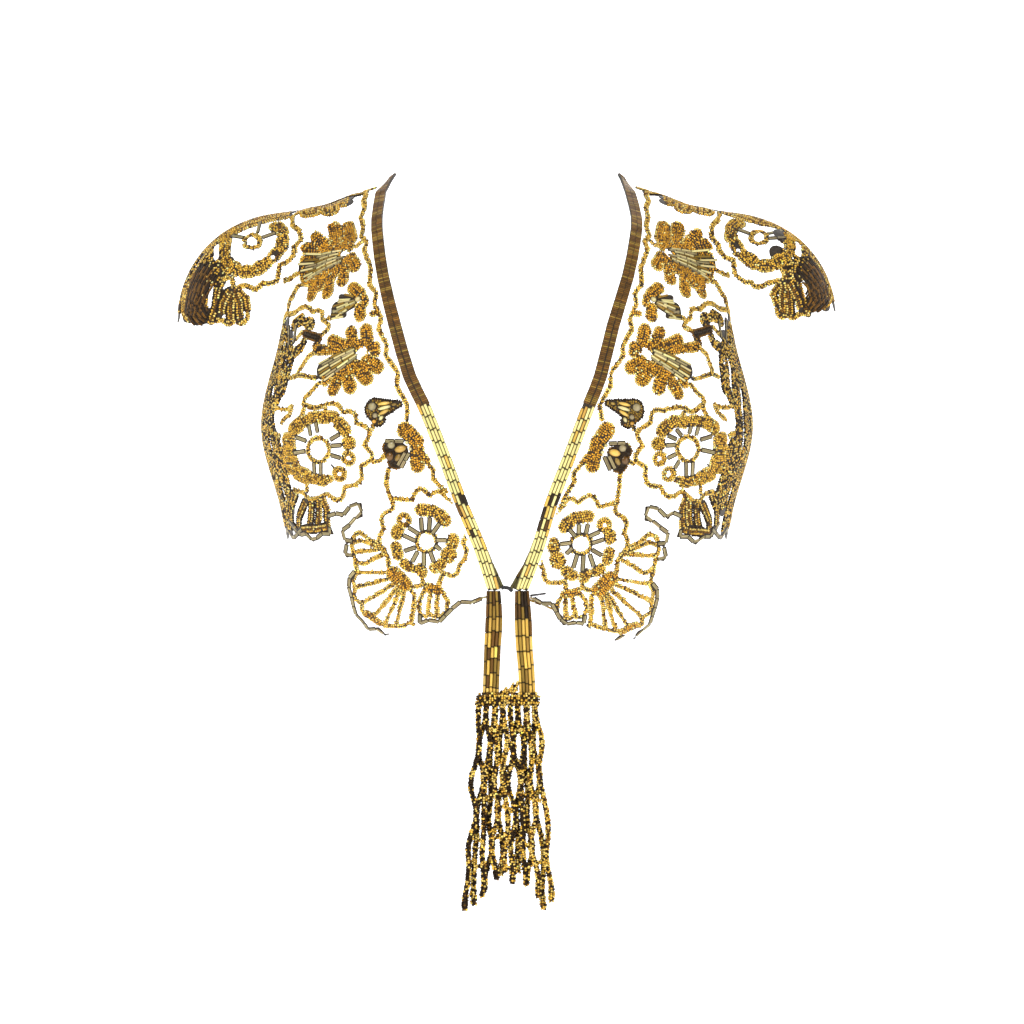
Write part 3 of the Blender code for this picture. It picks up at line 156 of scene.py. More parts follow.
@dataclass(frozen=True)
class Figure:
    """The general figure that the lace lies on."""

    torso: Tuple[Blob, ...] = (
        Blob(0.0, -170.0, 166.5, 118.0, 170.0, 2.6),
        Blob(0.0, -63.5, 151.0, 62.0, 61.5, 2.5),
        Blob(0.0, -32.0, 92.0, 60.0, 53.5, 2.2),
        Blob(110.0, -60.0, 43.0, 42.0, 38.5, 4.0),
    )
    upper_arm: Blob = Blob(140.0, -106.0, 84.0, 54.0, 81.0, 2.25)
    soft: float = 0.03
    flare_below: float = -150.0
    waist_in: float = 10.0
    chest_in: float = 8.5
    draw_in: float = 60.0
    middle: float = -110.0
    wrap: float = 150.0
    reach: float = 330.0

    def level(self, points: Array, arm: bool) -> Array:
        """Value of the rounded form: 0 on the skin and more outside.

        Args:
            points: places in mm, one a row.
            arm: whether the upper arm is part of the form.

        Returns:
            One value for each place.
        """
        total = 0.0
        for blob in self.torso + ((self.upper_arm,) if arm else ()):
            wide = blob.half_width
            if blob.height < self.flare_below:
                low = np.clip((blob.height - points[:, 2]) / self.draw_in, 0.0, 1.0)
                high = np.clip((points[:, 2] - blob.height) / self.draw_in, 0.0, 1.0)
                wide = (wide - self.waist_in * low * low * (3.0 - 2.0 * low)
                        - self.chest_in * high * high * (3.0 - 2.0 * high))
            share = (np.abs((np.abs(points[:, 0]) - blob.aside) / wide) ** blob.square
                     + np.abs(points[:, 1] / blob.half_depth) ** blob.square
                     + np.abs((points[:, 2] - blob.height) / blob.half_height) ** blob.square)
            total = total + np.exp((1.0 - share ** (1.0 / blob.square)) / self.soft)
        return -self.soft * np.log(total)

    def normals(self, points: Array, arm: bool) -> Array:
        """Outward unit normals of the form at the places."""
        slope = np.empty_like(points)
        for axis in range(3):
            nudge = np.zeros(3)
            nudge[axis] = 0.4
            slope[:, axis] = self.level(points + nudge, arm) - self.level(points - nudge, arm)
        return slope / np.linalg.norm(slope, axis=1, keepdims=True)

    def between(self, near: Array, far: Array, arm: bool) -> Array:
        """Place on each line from near (inside) to far (outside) that is on the skin."""
        for _ in range(20):
            middle = (near + far) / 2.0
            inside = (self.level(middle, arm) < 0.0)[:, None]
            near = np.where(inside, middle, near)
            far = np.where(inside, far, middle)
        return (near + far) / 2.0

    def lift(self, chart: Array, arm: bool) -> Array:
        """Chart places (around, up) of the left side as places on the form."""
        turn = chart[:, 0] / self.wrap
        rise = np.maximum(chart[:, 1], 0.0) / self.wrap
        start = np.zeros((len(chart), 3))
        start[:, 2] = self.middle + np.minimum(chart[:, 1], 0.0)
        way = np.stack((-np.cos(turn) * np.cos(rise), -np.sin(turn) * np.cos(rise),
                        np.sin(rise)), 1)
        return self.between(start, start + self.reach * way, arm)

    def chart_of(self, points: Array) -> Array:
        """Chart places of points near the form."""
        turn = np.arctan2(-points[:, 1], -points[:, 0])
        over = points[:, 2] - self.middle
        rise = np.arctan2(over, np.hypot(points[:, 0], points[:, 1])) * self.wrap
        return np.stack((turn * self.wrap, np.where(over < 0.0, over, rise)), 1)

    def settle(self, points: Array, arm: bool) -> Array:
        """Bring points near the form onto it."""
        return self.lift(self.chart_of(points), arm)


FIGURE = Figure()


@dataclass(frozen=True)
class Shift:
    """How far the right side is off a mirror image of the left, at one place."""

    column: float
    row: float
    columns: float
    rows: float


# How far the right side is off a plain mirror image of the left
SHIFTS = tuple(Shift(*row) for row in (
    # column, row, shift in columns, shift in rows
    (262.0, 219.0, 0.0, 0.0),
    (300.0, 211.0, 0.0, -1.0),
    (330.0, 206.0, 0.0, -2.0),
    (354.0, 196.0, 1.0, -1.0),
    (366.0, 193.0, 2.0, 0.0),
    (210.0, 250.0, 0.0, 0.0),
    (252.0, 241.5, 3.4, -4.0),
    (282.0, 231.5, 0.0, -3.0),
    (282.0, 246.5, 1.0, -9.0),
    (265.0, 263.0, 4.0, -7.5),
    (238.0, 270.0, 1.0, -7.0),
    (225.0, 250.0, -2.0, -7.0),
    (293.0, 226.0, 4.0, -5.0),
    (297.0, 244.0, 2.0, -2.0),
    (292.0, 257.0, 0.0, -3.0),
    (279.0, 273.0, 1.0, -6.0),
    (262.0, 284.0, 1.0, -1.0),
    (248.0, 287.0, -2.0, -3.0),
    (234.0, 290.0, -5.0, -8.0),
    (247.0, 312.0, -11.0, -6.0),
    (222.0, 318.0, -7.0, -6.0),
    (204.0, 276.0, 0.0, -4.0),
    (192.0, 296.0, 0.0, -10.0),
    (195.0, 314.0, 1.0, -14.0),
    (306.0, 247.0, 0.0, -4.0),
    (334.0, 230.0, 2.0, 0.0),
    (325.0, 268.0, 0.0, -3.0),
    (349.0, 244.0, 2.0, -1.0),
    (362.0, 220.0, 5.0, 0.0),
    (371.0, 300.0, 3.0, 0.0),
    (345.0, 305.0, 2.0, 1.0),
    (302.0, 338.0, -1.0, -5.0),
    (346.0, 362.0, 6.0, 1.0),
    (376.0, 409.5, 5.0, 1.0),
    (378.0, 419.0, 8.0, 2.0),
    (399.0, 404.0, 7.0, -1.0),
    (407.0, 412.0, 7.0, 0.0),
    (405.0, 430.0, 2.0, 0.0),
    (416.0, 441.0, 1.0, 4.0),
    (417.5, 465.5, 4.0, 0.0),
    (397.0, 454.0, -1.5, 4.0),
    (433.0, 475.0, 7.0, 3.0),
    (387.0, 483.0, 8.5, 2.0),
    (391.0, 500.0, 6.0, 4.0),
    (415.0, 496.0, 3.0, 7.0),
    (435.0, 492.0, 6.0, 7.0),
    (455.0, 503.0, 1.0, 8.0),
    (292.0, 407.0, 7.0, -2.0),
    (281.0, 422.0, 7.0, -3.0),
    (272.0, 424.0, 3.0, 0.0),
    (276.0, 452.0, 4.0, 0.0),
    (331.0, 403.0, 2.0, 4.0),
    (349.0, 411.0, 7.0, -1.5),
    (364.0, 445.0, 7.0, 1.0),
    (361.0, 470.0, 7.0, 1.0),
    (346.0, 487.0, 8.0, 0.0),
    (334.0, 500.0, 4.0, -4.0),
    (319.0, 449.0, 8.0, -2.0),
    (325.0, 417.0, 7.5, 5.0),
    (343.0, 470.0, 5.0, 0.0),
    (318.0, 479.0, 7.0, 2.0),
    (425.0, 542.0, 6.5, 2.0),
    (428.0, 510.0, 5.0, 7.0),
    (462.0, 545.0, 8.0, 4.0),
    (455.0, 576.0, 12.0, 7.0),
    (443.0, 574.0, 6.0, 8.0),
    (361.5, 510.0, 7.0, 4.0),
    (344.0, 530.0, 3.0, 3.0),
    (360.0, 533.0, 4.0, 1.5),
    (345.0, 552.0, 3.0, 3.0),
    (384.0, 552.0, 9.0, 5.0),
    (397.0, 577.0, 10.0, 5.0),
    (375.0, 572.0, 6.0, 9.0),
    (356.0, 574.0, 7.0, 12.0),
    (354.0, 592.0, 8.0, 14.0),
    (363.0, 606.0, 10.0, 14.0),
    (373.0, 620.0, 13.0, 10.0),
    (387.0, 627.0, 14.0, 5.0),
    (404.0, 626.0, 13.0, 1.0),
    (414.0, 606.0, 8.0, 0.0),
    (434.0, 600.0, 12.0, 3.0),
    (470.0, 602.0, 1.0, 1.0),
    (482.0, 598.0, -1.5, 0.0),
    (310.0, 510.0, 6.0, 3.0),
))
# How much higher the right cap's side hangs, in mm
RIGHT_RISE = 7.5


@dataclass(frozen=True)
class Layout:
    """The layout grid of one side, put on the figure."""

    side: Side
    arm: bool = False
    near: float = 4.0
    fall: int = 4

    def moved(self, spots: Spots) -> Array:
        """Grid places, moved by the right side's shifts where they apply."""
        table = np.array(spots, dtype=float)
        if self.side is Side.RIGHT:
            shifts = np.array([(s.column, s.row, s.columns, s.rows) for s in SHIFTS])
            away = np.linalg.norm(table[:, None] - shifts[None, :, :2], axis=2)
            weight = 1.0 / (away + self.near) ** self.fall
            table = table + (weight @ shifts[:, 2:]) / weight.sum(1, keepdims=True)
        return table

    def exact(self, spots: Spots) -> Array:
        """Final grid places as points on the front of the form, in mm."""
        table = np.array(spots, dtype=float)
        near = np.zeros((len(table), 3))
        near[:, 0] = (table[:, 0] - AXIS_COLUMN) * STEP
        near[:, 2] = (NECK_ROW - table[:, 1]) * STEP
        far = near + np.array((0.0, -220.0, 0.0))
        return FIGURE.settle(FIGURE.between(near, far, self.arm), self.arm)

    def seen(self, spots: Spots) -> Array:
        """Left side grid places as points on this side's form, in mm."""
        return self.exact(self.moved(spots))

    def turned(self, spots: Spots) -> Array:
        """Places (mm around from the side seam, height) as points on the form."""
        table = np.array(spots, dtype=float)
        turn = table[:, 0] / FIGURE.wrap
        near = np.stack((0.0 * turn, 0.0 * turn, table[:, 1]), 1)
        way = np.stack((-np.cos(turn), -np.sin(turn), 0.0 * turn), 1)
        return FIGURE.settle(FIGURE.between(near, near + FIGURE.reach * way, self.arm), self.arm)

    def fuller(self, points: Array) -> Array:
        """Millimetres a step, more on the parts turned away from the front."""
        facing = np.maximum(-FIGURE.normals(points, self.arm)[:, 1], LEAST_FACING)
        return STEP / np.sqrt(facing)


def polar(radius: float, degrees: float) -> Spot:
    """Plane place at a distance and an angle."""
    angle = math.radians(degrees)
    return radius * math.cos(angle), radius * math.sin(angle)


def smooth(spots: Spots, count: int) -> Array:
    """Curve through the spots, by Catmull-Rom spans of count pieces."""
    table = np.array(spots, dtype=float)
    table = np.vstack((2 * table[0] - table[1], table, 2 * table[-1] - table[-2]))
    curve = []
    for i in range(1, len(table) - 2):
        a, b, c, d = table[i - 1:i + 3]
        for t in np.linspace(0.0, 1.0, count, endpoint=False):
            curve.append(0.5 * (2 * b + (c - a) * t + (2 * a - 5 * b + 4 * c - d) * t ** 2
                                + (3 * b - a - 3 * c + d) * t ** 3))
    curve.append(table[-2])
    return np.array(curve)


def run_length(line: Array, closed: bool = False) -> Tuple[Array, Array]:
    """A line, closed if asked, and the distance along it at each point."""
    if closed:
        line = np.vstack((line, line[:1]))
    steps = np.linalg.norm(np.diff(line, axis=0), axis=1)
    return line, np.concatenate(((0.0,), np.cumsum(steps)))


def spaced(line: Array, pitch: float, closed: bool = False, start: float = 0.5) -> Array:
    """Points at even spacing along a line.

    Args:
        line: points of the line.
        pitch: spacing aimed at; the real one divides the line evenly.
        closed: whether the line returns to its first point.
        start: share of a spacing before the first point.

    Returns:
        The points, at least one.
    """
    line, run = run_length(line, closed)
    count = max(1, round(run[-1] / pitch))
    places = (np.arange(count) + start) * run[-1] / count
    return np.stack([np.interp(places, run, line[:, k]) for k in range(line.shape[1])], 1)


def dense(line: Array, gap: float = 0.9) -> Array:
    """The line with points no more than gap apart."""
    line, run = run_length(line)
    count = max(2, int(math.ceil(run[-1] / gap)) + 1)
    places = np.linspace(0.0, run[-1], count)
    return np.stack([np.interp(places, run, line[:, k]) for k in range(line.shape[1])], 1)


# Bugles side by side in a line: place across in mm, radius in mm, own tone
BUGLE_LINE = ((-1.35, 0.42, Tone.DARK), (-0.52, 0.56, None), (0.52, 0.56, None),
              (1.35, 0.42, Tone.DARK))


def arcs(points: Sequence[Tuple[float, float, float]]) -> Array:
    """Curve through a strand's places, each arc standing out to the left by its bulge."""
    path = []
    for (column, row, bulge), (next_column, next_row, _) in zip(points, points[1:]):
        along = np.array((next_column - column, next_row - row))
        out = np.array((along[1], -along[0])) / np.linalg.norm(along)
        steps = ARC_STEPS if abs(bulge) > 1.0 else 1
        for k in range(steps):
            t = k / steps
            path.append(np.array((column, row)) + along * t + out * bulge * math.sin(math.pi * t))
    path.append(np.array(points[-1][:2]))
    return np.array(path)


def waved(spots: Spots, wave: float, length: float) -> Array:
    """Curve through side places with a sideways wave along its height."""
    curve = smooth(spots, 32 // (len(spots) - 1))
    if wave:
        phase = curve[0, 0] * WAVE_TURN
        curve[:, 0] += wave * np.sin(2.0 * math.pi * curve[:, 1] / length + phase)
    return curve


def capsule(length: float, foot_radius: float, tip_radius: float) -> Array:
    """Outline of a round-ended bar lying along the first axis from 0 to its length."""
    spots = []
    for k in range(9):
        u, v = polar(max(tip_radius, 0.05), -90.0 + 22.5 * k)
        spots.append((length + u, v))
    for k in range(9):
        u, v = polar(max(foot_radius, 0.05), 90.0 + 22.5 * k)
        spots.append((u, v))
    return np.array(spots)


@dataclass(frozen=True)
class Row:
    """One row of seed beads along a line on the form.

    A rim row takes the tone `rim` where it runs along the lace's own outline.
    """

    line: Array
    tone: Tone
    closed: bool = False
    rim: Optional[Tone] = None

    def behind(self) -> "Row":
        """The row's mirror image on the other side of the seam."""
        return Row(self.line * (1, -1, 1), self.tone, self.closed, self.rim)


@dataclass(frozen=True)
class Bugle:
    """One tube bead between two points."""

    start: Array
    end: Array
    tone: Tone
    radius: float = BUGLE_RADIUS

    def behind(self) -> "Bugle":
        """The bugle's mirror image on the other side of the seam."""
        return Bugle(self.start * (1, -1, 1), self.end * (1, -1, 1), self.tone, self.radius)


@dataclass(frozen=True)
class Stone:
    """One glass stone lying on the form, with its half sizes in mm."""

    place: Array
    along: Array
    half_long: float
    half_wide: float
    half_high: float
    tone: Tone


@dataclass
class Work:
    """What one lace piece is made of: bars, cuts, rows of seeds, bugles and stones."""

    layout: Layout
    part: Part
    bars: List[Bar] = field(default_factory=list)
    cuts: List[Bar] = field(default_factory=list)
    over: List[Bar] = field(default_factory=list)
    rims: List[Row] = field(default_factory=list)
    rows: List[Row] = field(default_factory=list)
    bugles: List[Bugle] = field(default_factory=list)
    stones: List[Stone] = field(default_factory=list)

    @property
    def arm(self) -> bool:
        """Whether the piece lies on the upper arm as well."""
        return self.part is Part.CAP

    @property
    def right(self) -> bool:
        """Whether the piece is on the right side."""
        return self.layout.side is Side.RIGHT

    def laid(self, rows: Sequence[Sequence[float]]) -> List[Bar]:
        """Bars on the form from rows of foot, tip and two radii in layout steps."""
        if not rows:
            return []
        table = np.array(rows, dtype=float)
        feet, tips = self.layout.seen(table[:, :2]), self.layout.seen(table[:, 2:4])
        full = self.layout.fuller((feet + tips) / 2.0)
        return [(a, b, row[4] * k, row[5] * k) for a, b, row, k in zip(feet, tips, table, full)]

    def chain(self, points: Array, radius: float) -> None:
        """Thread ground through the points."""
        self.bars += [(points[i], points[i + 1], radius, radius) for i in range(len(points) - 1)]

    def sideways(self, line: Array) -> Array:
        """Unit directions lying on the form across a line."""
        side = np.cross(FIGURE.normals(line, self.arm), np.gradient(line, axis=0))
        return side / np.maximum(np.linalg.norm(side, axis=1, keepdims=True), 1e-9)

    def strand(self, points: Array, half: float, tones: Sequence[Tone]) -> None:
        """Strand of side-by-side seed rows.

        Args:
            points: middle line on the form.
            half: half width of the strand in mm.
            tones: colours that its rows take in turn.
        """
        self.chain(points, half)
        line = dense(points)
        side = self.sideways(line)
        count = 3 if half < THREE_ROWS else max(1, round(2.0 * half / ROW_GAP))
        for k, offset in enumerate(np.linspace(-1.0, 1.0, count) * (half - EDGE_ROW)):
            self.rows.append(Row(line + side * offset, tones[k % len(tones)]))

    def tubes(self, points: Array, tone: Tone, half: float, length: float = 7.6) -> None:
        """Line of paired bugles end to end."""
        self.chain(points, half)
        line, run = run_length(dense(points))
        count = max(1, round(run[-1] / length))
        ends = np.linspace(0.0, run[-1], count + 1)
        spots = np.stack([np.interp(ends, run, line[:, k]) for k in range(3)], 1)
        normal = FIGURE.normals(spots, self.arm)
        for i in range(count):
            way = spots[i + 1] - spots[i]
            side = np.cross(normal[i], way)
            side /= np.linalg.norm(side)
            for turn, radius, shade in BUGLE_LINE:
                aside = side * turn
                self.bugles.append(Bugle(spots[i] + way * 0.03 + aside,
                                         spots[i + 1] - way * 0.03 + aside,
                                         shade if shade else tone, radius))

    def axes(self, bar: Bar) -> Tuple[Array, Array, float]:
        """A bar's own directions along and across the form, and its length."""
        along = bar[1] - bar[0]
        length = float(np.linalg.norm(along))
        normal = FIGURE.normals((bar[0] + bar[1])[None] / 2.0, self.arm)[0]
        if length < 0.3:
            along = np.cross(normal, (0.0, 1.0, 0.0)) if abs(normal[1]) < 0.5 \
                else np.cross((1.0, 0.0, 0.0), normal)
        along = along - normal * (along @ normal)
        along /= np.linalg.norm(along)
        return along, np.cross(normal, along), length

    def lobe(self, bar: Bar, tone: Tone, rim: Tone, hole: float = 0.0) -> None:
        """Rounded lobe packed with nested rows of seeds, the outer one of another tone."""
        self.bars.append(bar)
        along, across, length = self.axes(bar)
        inset = EDGE_ROW
        while max(bar[2], bar[3]) - inset > max(-0.3, hole):
            plane = capsule(length, bar[2] - inset, bar[3] - inset)
            flat = bar[0] + plane[:, :1] * along + plane[:, 1:] * across
            line = FIGURE.settle(flat, self.arm)
            if inset == EDGE_ROW:
                self.rims.append(Row(line, tone, True, rim))
            else:
                self.rows.append(Row(line, tone, True))
            inset += ROW_GAP

    def leaf(self, bar: Bar, tones: Sequence[Tone], narrow: float, length: float) -> None:
        """Leaf of bugles lying lengthwise, closer together at the tip.

        Args:
            bar: the leaf's outline.
            tones: colours that the bugles take in turn.
            narrow: share of its width that the bugles fill at the tip.
            length: length of a bugle in mm.
        """
        self.bars.append(bar)
        along, across, run = self.axes(bar)
        start, stop = -bar[2] * 0.72, run + bar[3] * 0.72
        count = max(2, round(1.7 * bar[2] / (2.0 * LEAF_BUGLE_RADIUS + 0.25)))
        for k, share in enumerate(np.linspace(-0.85, 0.85, count)):
            trim = 0.5 * share * share
            first = start * (1.0 - trim) + (0.35 * length if k % 2 else 0.0) * (share != 0.0)
            last = stop - (stop - run) * trim
            while first < last - 2.5:
                end = min(first + length, last)
                ends = []
                for spot in (first + 0.2, end - 0.2):
                    t = min(max((spot - start) / (stop - start), 0.0), 1.0)
                    wide = bar[2] * (1.0 - t) + bar[3] * t * (narrow + 0.4 * (1.0 - t))
                    ends.append(bar[0] + along * spot + across * (share * wide))
                ends = FIGURE.settle(np.array(ends), self.arm)
                step = k + int(first > start + 0.5 * length)
                self.bugles.append(Bugle(ends[0], ends[1], tones[step % len(tones)],
                                         LEAF_BUGLE_RADIUS))
                first += length


# Tones of a leaf's bugles, how narrow its tip is and how long they are
LEAF_TONES = {
    Dress.CREAM: ((Tone.CREAM, Tone.GLASS, Tone.CREAM, Tone.OLIVE), 0.6, LEAF_BUGLE),
    Dress.FANNED: ((Tone.CREAM, Tone.OLIVE, Tone.GLASS), 0.3, LEAF_BUGLE),
    Dress.SHADOW: ((Tone.DARK, Tone.BROWN, Tone.DARK, Tone.BRONZE), 0.9, 7.0),
}
# Least half width, what is added to it, and tones of its rows, for strands of beads
STRAND_TONES = (
    (5.2, 0.0, (Tone.DARK, Tone.STRAW, Tone.GOLD, Tone.BRONZE, Tone.GOLD, Tone.STRAW, Tone.GOLD)),
    (3.5, 0.0, (Tone.GOLD, Tone.STRAW, Tone.BRONZE)),
    (2.0, 0.6, (Tone.DARK, Tone.GOLD, Tone.BRONZE, Tone.STRAW, Tone.DARK)),
    (0.0, 0.0, (Tone.STRAW, Tone.GOLD, Tone.STRAW)),
)


@dataclass(frozen=True)
class Motif:
    """Group of leaf bars, bead lobes and cuts of one part."""

    part: str
    dress: Dress
    leaves: Tuple[Tuple[float, ...], ...]
    lobes: Tuple[Tuple[float, ...], ...]
    cuts: Tuple[Tuple[float, ...], ...]

    def lay(self, work: Work) -> None:
        """Add the motif to a piece."""
        for bar in work.laid(self.leaves):
            if self.dress in LEAF_TONES:
                work.leaf(bar, *LEAF_TONES[self.dress])
            else:
                work.lobe(bar, Tone.DARK, Tone.BRONZE)
        inner, rim = Tone.AMBER, Tone.STRAW
        if self.dress in (Dress.SHADOW, Dress.SIDE):
            inner = rim = Tone.BROWN
        for bar in work.laid(self.lobes):
            work.lobe(bar, inner, rim)
        work.cuts += work.laid(self.cuts)


@dataclass(frozen=True)
class Flower:
    """Round eye, bugle spokes and packed petals; sizes in layout steps."""

    part: str
    column: float
    row: float
    across: float
    up: float
    petals: Tuple[Tuple[float, ...], ...]
    spokes: Tuple[Tuple[float, ...], ...]

    def lay(self, work: Work) -> None:
        """Add the flower to a piece."""
        ring = [polar(1.0, 15.0 * k) for k in range(25)]
        spots = [(self.column + self.across * u, self.row - self.up * v) for u, v in ring]
        work.strand(work.layout.seen(spots), STRAND, (Tone.STRAW, Tone.GOLD))
        for petal, bar in zip(self.petals, work.laid([(*p[:5], p[4]) for p in self.petals])):
            work.lobe(bar, Tone.GOLD, Tone.STRAW, petal[5] * STEP)
        holes = [(*p[:2], *p[:2], p[5], p[5]) for p in self.petals if p[5]]
        work.cuts += work.laid(holes)
        first = len(work.bars)
        for spoke in self.spokes:
            ends = work.layout.seen((spoke[:2], spoke[2:]))
            length = float(np.linalg.norm(ends[1] - ends[0]))
            work.tubes(ends, Tone.GLASS, SPOKE, length)
        work.over += work.bars[first:]


@dataclass(frozen=True)
class Strand:
    """Line of beads through grid places (column, row, bulge of the arc that follows)."""

    part: str
    radius: float
    points: Tuple[Tuple[float, float, float], ...]

    def lay(self, work: Work) -> None:
        """Add the strand to a piece."""
        points = work.layout.seen(arcs(self.points))
        if self.radius in (BUGLE_EDGE, SPOKE):
            work.tubes(points, Tone.GLASS, self.radius)
            return
        added, tones = next(row[1:] for row in STRAND_TONES if self.radius > row[0])
        work.strand(points, self.radius + added, tones)


@dataclass(frozen=True)
class SideStrand:
    """Waving strand on the turned sides, through (mm around, height) places."""

    part: str
    radius: float
    wave: float
    length: float
    points: Tuple[Spot, ...]
    added: float = 1.0

    def lay(self, work: Work) -> None:
        """Add the strand to a piece."""
        curve = waved(self.points, self.wave, self.length)
        curve[:, 1] += RIGHT_RISE * (work.right and work.arm)
        points = work.layout.turned(curve)
        if self.radius == BUGLE_EDGE:
            work.tubes(points, Tone.GLASS, self.radius)
        else:
            work.strand(points, self.radius + self.added, (Tone.BROWN,))


@dataclass(frozen=True)
class Gem:
    """One stone lying on a motif, in layout steps."""

    column: float
    row: float
    half_long: float
    half_wide: float
    angle: float
    tone: Tone

    def lay(self, work: Work) -> None:
        """Add the stone to a piece."""
        u, v = polar(1.0, self.angle)
        place, ahead = work.layout.seen(((self.column, self.row),
                                         (self.column + u, self.row - v)))
        work.stones.append(Stone(place, ahead - place, self.half_long * STEP,
                                 self.half_wide * STEP, 1.3, self.tone))


@dataclass(frozen=True)
class Drop:
    """Glass drop: a dark beaded rim round stones and loose seeds."""

    bars: Tuple[Tuple[float, ...], ...]

    def lay(self, work: Work) -> None:
        """Add the drop to a piece."""
        for bar in work.laid(self.bars):
            work.lobe(bar, Tone.OLIVE, Tone.DARK)


# Each bar runs from a foot to a tip
MOTIFS = tuple(Motif(*row) for row in (
    # part, dress, then leaf bars, bead lobes and cuts, each as
    # (foot column, foot row, tip column, tip row, foot radius, tip radius) in layout steps
    ("front", Dress.CREAM,
     ((312, 268, 338, 258, 11.0, 8.5),),
     ((328, 249, 307, 248, 5.0, 6.6), (326, 246, 316, 237.5, 6.0, 6.6),
      (336, 243, 334, 228, 6.5, 6.2), (349, 241, 346.8, 228, 7.3, 6.2),
      (351, 257, 355, 266, 5.0, 6.3), (345, 270, 342.5, 280, 5.0, 6.5),
      (329, 284, 327.5, 292, 6.0, 6.4), (316, 287, 312, 293.5, 5.5, 6.4),
      (324, 251, 349, 248, 4.6, 4.6), (337, 250, 345, 262, 5.0, 6.0),
      (341, 262, 349, 258, 7.0, 4.0), (326, 278, 344, 268, 6.0, 4.0),
      (309, 276, 330, 275, 8.0, 7.5), (313, 284, 320, 284, 6.5, 6.5),
      (306, 262, 314, 260, 7.0, 7.0)),
     ((339.5, 260, 344, 254, 2.2, 3.2),)),
    ("front", Dress.CREAM,
     ((325, 370, 352, 354, 10.5, 8.0),),
     ((353, 341, 351, 332, 6.0, 6.5), (367, 339, 366, 330, 7.0, 7.0),
      (343, 345, 332.5, 341, 6.0, 6.6), (338, 350, 317, 350, 4.5, 5.2),
      (375, 352, 375, 346, 5.8, 5.6), (368, 362, 377, 367, 8.5, 7.6),
      (361, 370, 366, 378, 9.0, 8.1), (347, 378, 350, 387, 7.0, 7.4),
      (336, 383, 332.5, 390.5, 7.0, 6.0), (325, 382, 327, 378, 4.5, 6.0),
      (350, 344, 370, 346, 6.5, 6.5), (340, 374, 360, 366, 8.0, 7.0)),
     ((358, 355, 363, 350.5, 2.4, 3.3),)),
    ("front", Dress.FANNED,
     ((338, 309, 352, 303, 8.5, 6.0), (341, 297, 353, 298, 3.6, 3.6),
      (334, 315, 344, 315, 4.6, 3.6)),
     ((353, 288, 360, 294, 6.4, 6.4), (364, 297, 365, 303, 4.6, 4.4),
      (360, 308, 360, 315.5, 6.2, 6.6), (372, 313.5, 378, 313, 3.4, 3.2)),
     ()),
    ("front", Dress.STONES,
     ((391, 447.5, 400, 451, 9.6, 9.2), (396, 460, 401, 456, 9.8, 8.2)),
     ((405, 430, 416, 441, 8.8, 8.2), (416, 441, 417.5, 465.5, 8.0, 7.8),
      (421, 452, 427, 462, 4.6, 3.6)),
     ()),
    ("front", Dress.SIDE,
     ((305, 334, 319, 338, 3.7, 3.7), (319, 338, 316, 347, 3.4, 4.6)),
     ((294, 325, 301, 320, 4.4, 4.4), (310, 324.5, 308, 323, 5.7, 5.0),
      (294, 323, 310, 322, 3.0, 3.0), (304, 341, 301, 348, 3.7, 3.7),
      (301, 348, 294, 353, 3.9, 4.4), (316, 347, 318, 350, 4.4, 4.0)),
     ()),
    ("front", Dress.STONES,
     (),
     ((394, 574, 404, 584, 8.5, 8.5), (428, 589, 439, 590, 4.6, 4.6),
      (368, 614, 378, 622, 4.2, 4.2)),
     ()),
    ("front", Dress.SIDE,
     (),
     ((287, 338, 291, 357, 2.6, 5.6), (291, 357, 286, 372, 5.6, 6.4),
      (286, 372, 282, 390, 6.8, 5.0), (280, 392, 275, 405, 5.0, 4.0),
      (272, 403, 271, 426, 5.0, 5.5), (272, 426, 273, 441, 4.6, 4.0),
      (277, 447, 282, 470, 6.5, 7.5), (282, 470, 286, 486, 7.0, 7.0),
      (286, 486, 291, 500, 7.0, 6.0)),
     ((283.5, 344, 283.5, 348, 0.9, 0.9), (288.0, 364, 288.0, 366, 0.8, 0.8))),
    ("cap", Dress.SHADOW,
     ((204, 276, 197, 291, 14.5, 13.5), (197, 291, 193.5, 305, 13.5, 13.0),
      (193.5, 305, 198, 314, 13.0, 10.5), (198, 315, 203, 319, 9.0, 5.5)),
     ((212, 258, 205, 276, 8.5, 14.0), (216, 262, 212, 279, 5.0, 5.5),
      (209, 284, 204, 312, 5.0, 4.5)),
     ((216.5, 246, 216.5, 257, 2.6, 2.6), (211.5, 289, 209.5, 305, 2.4, 2.0))),
))
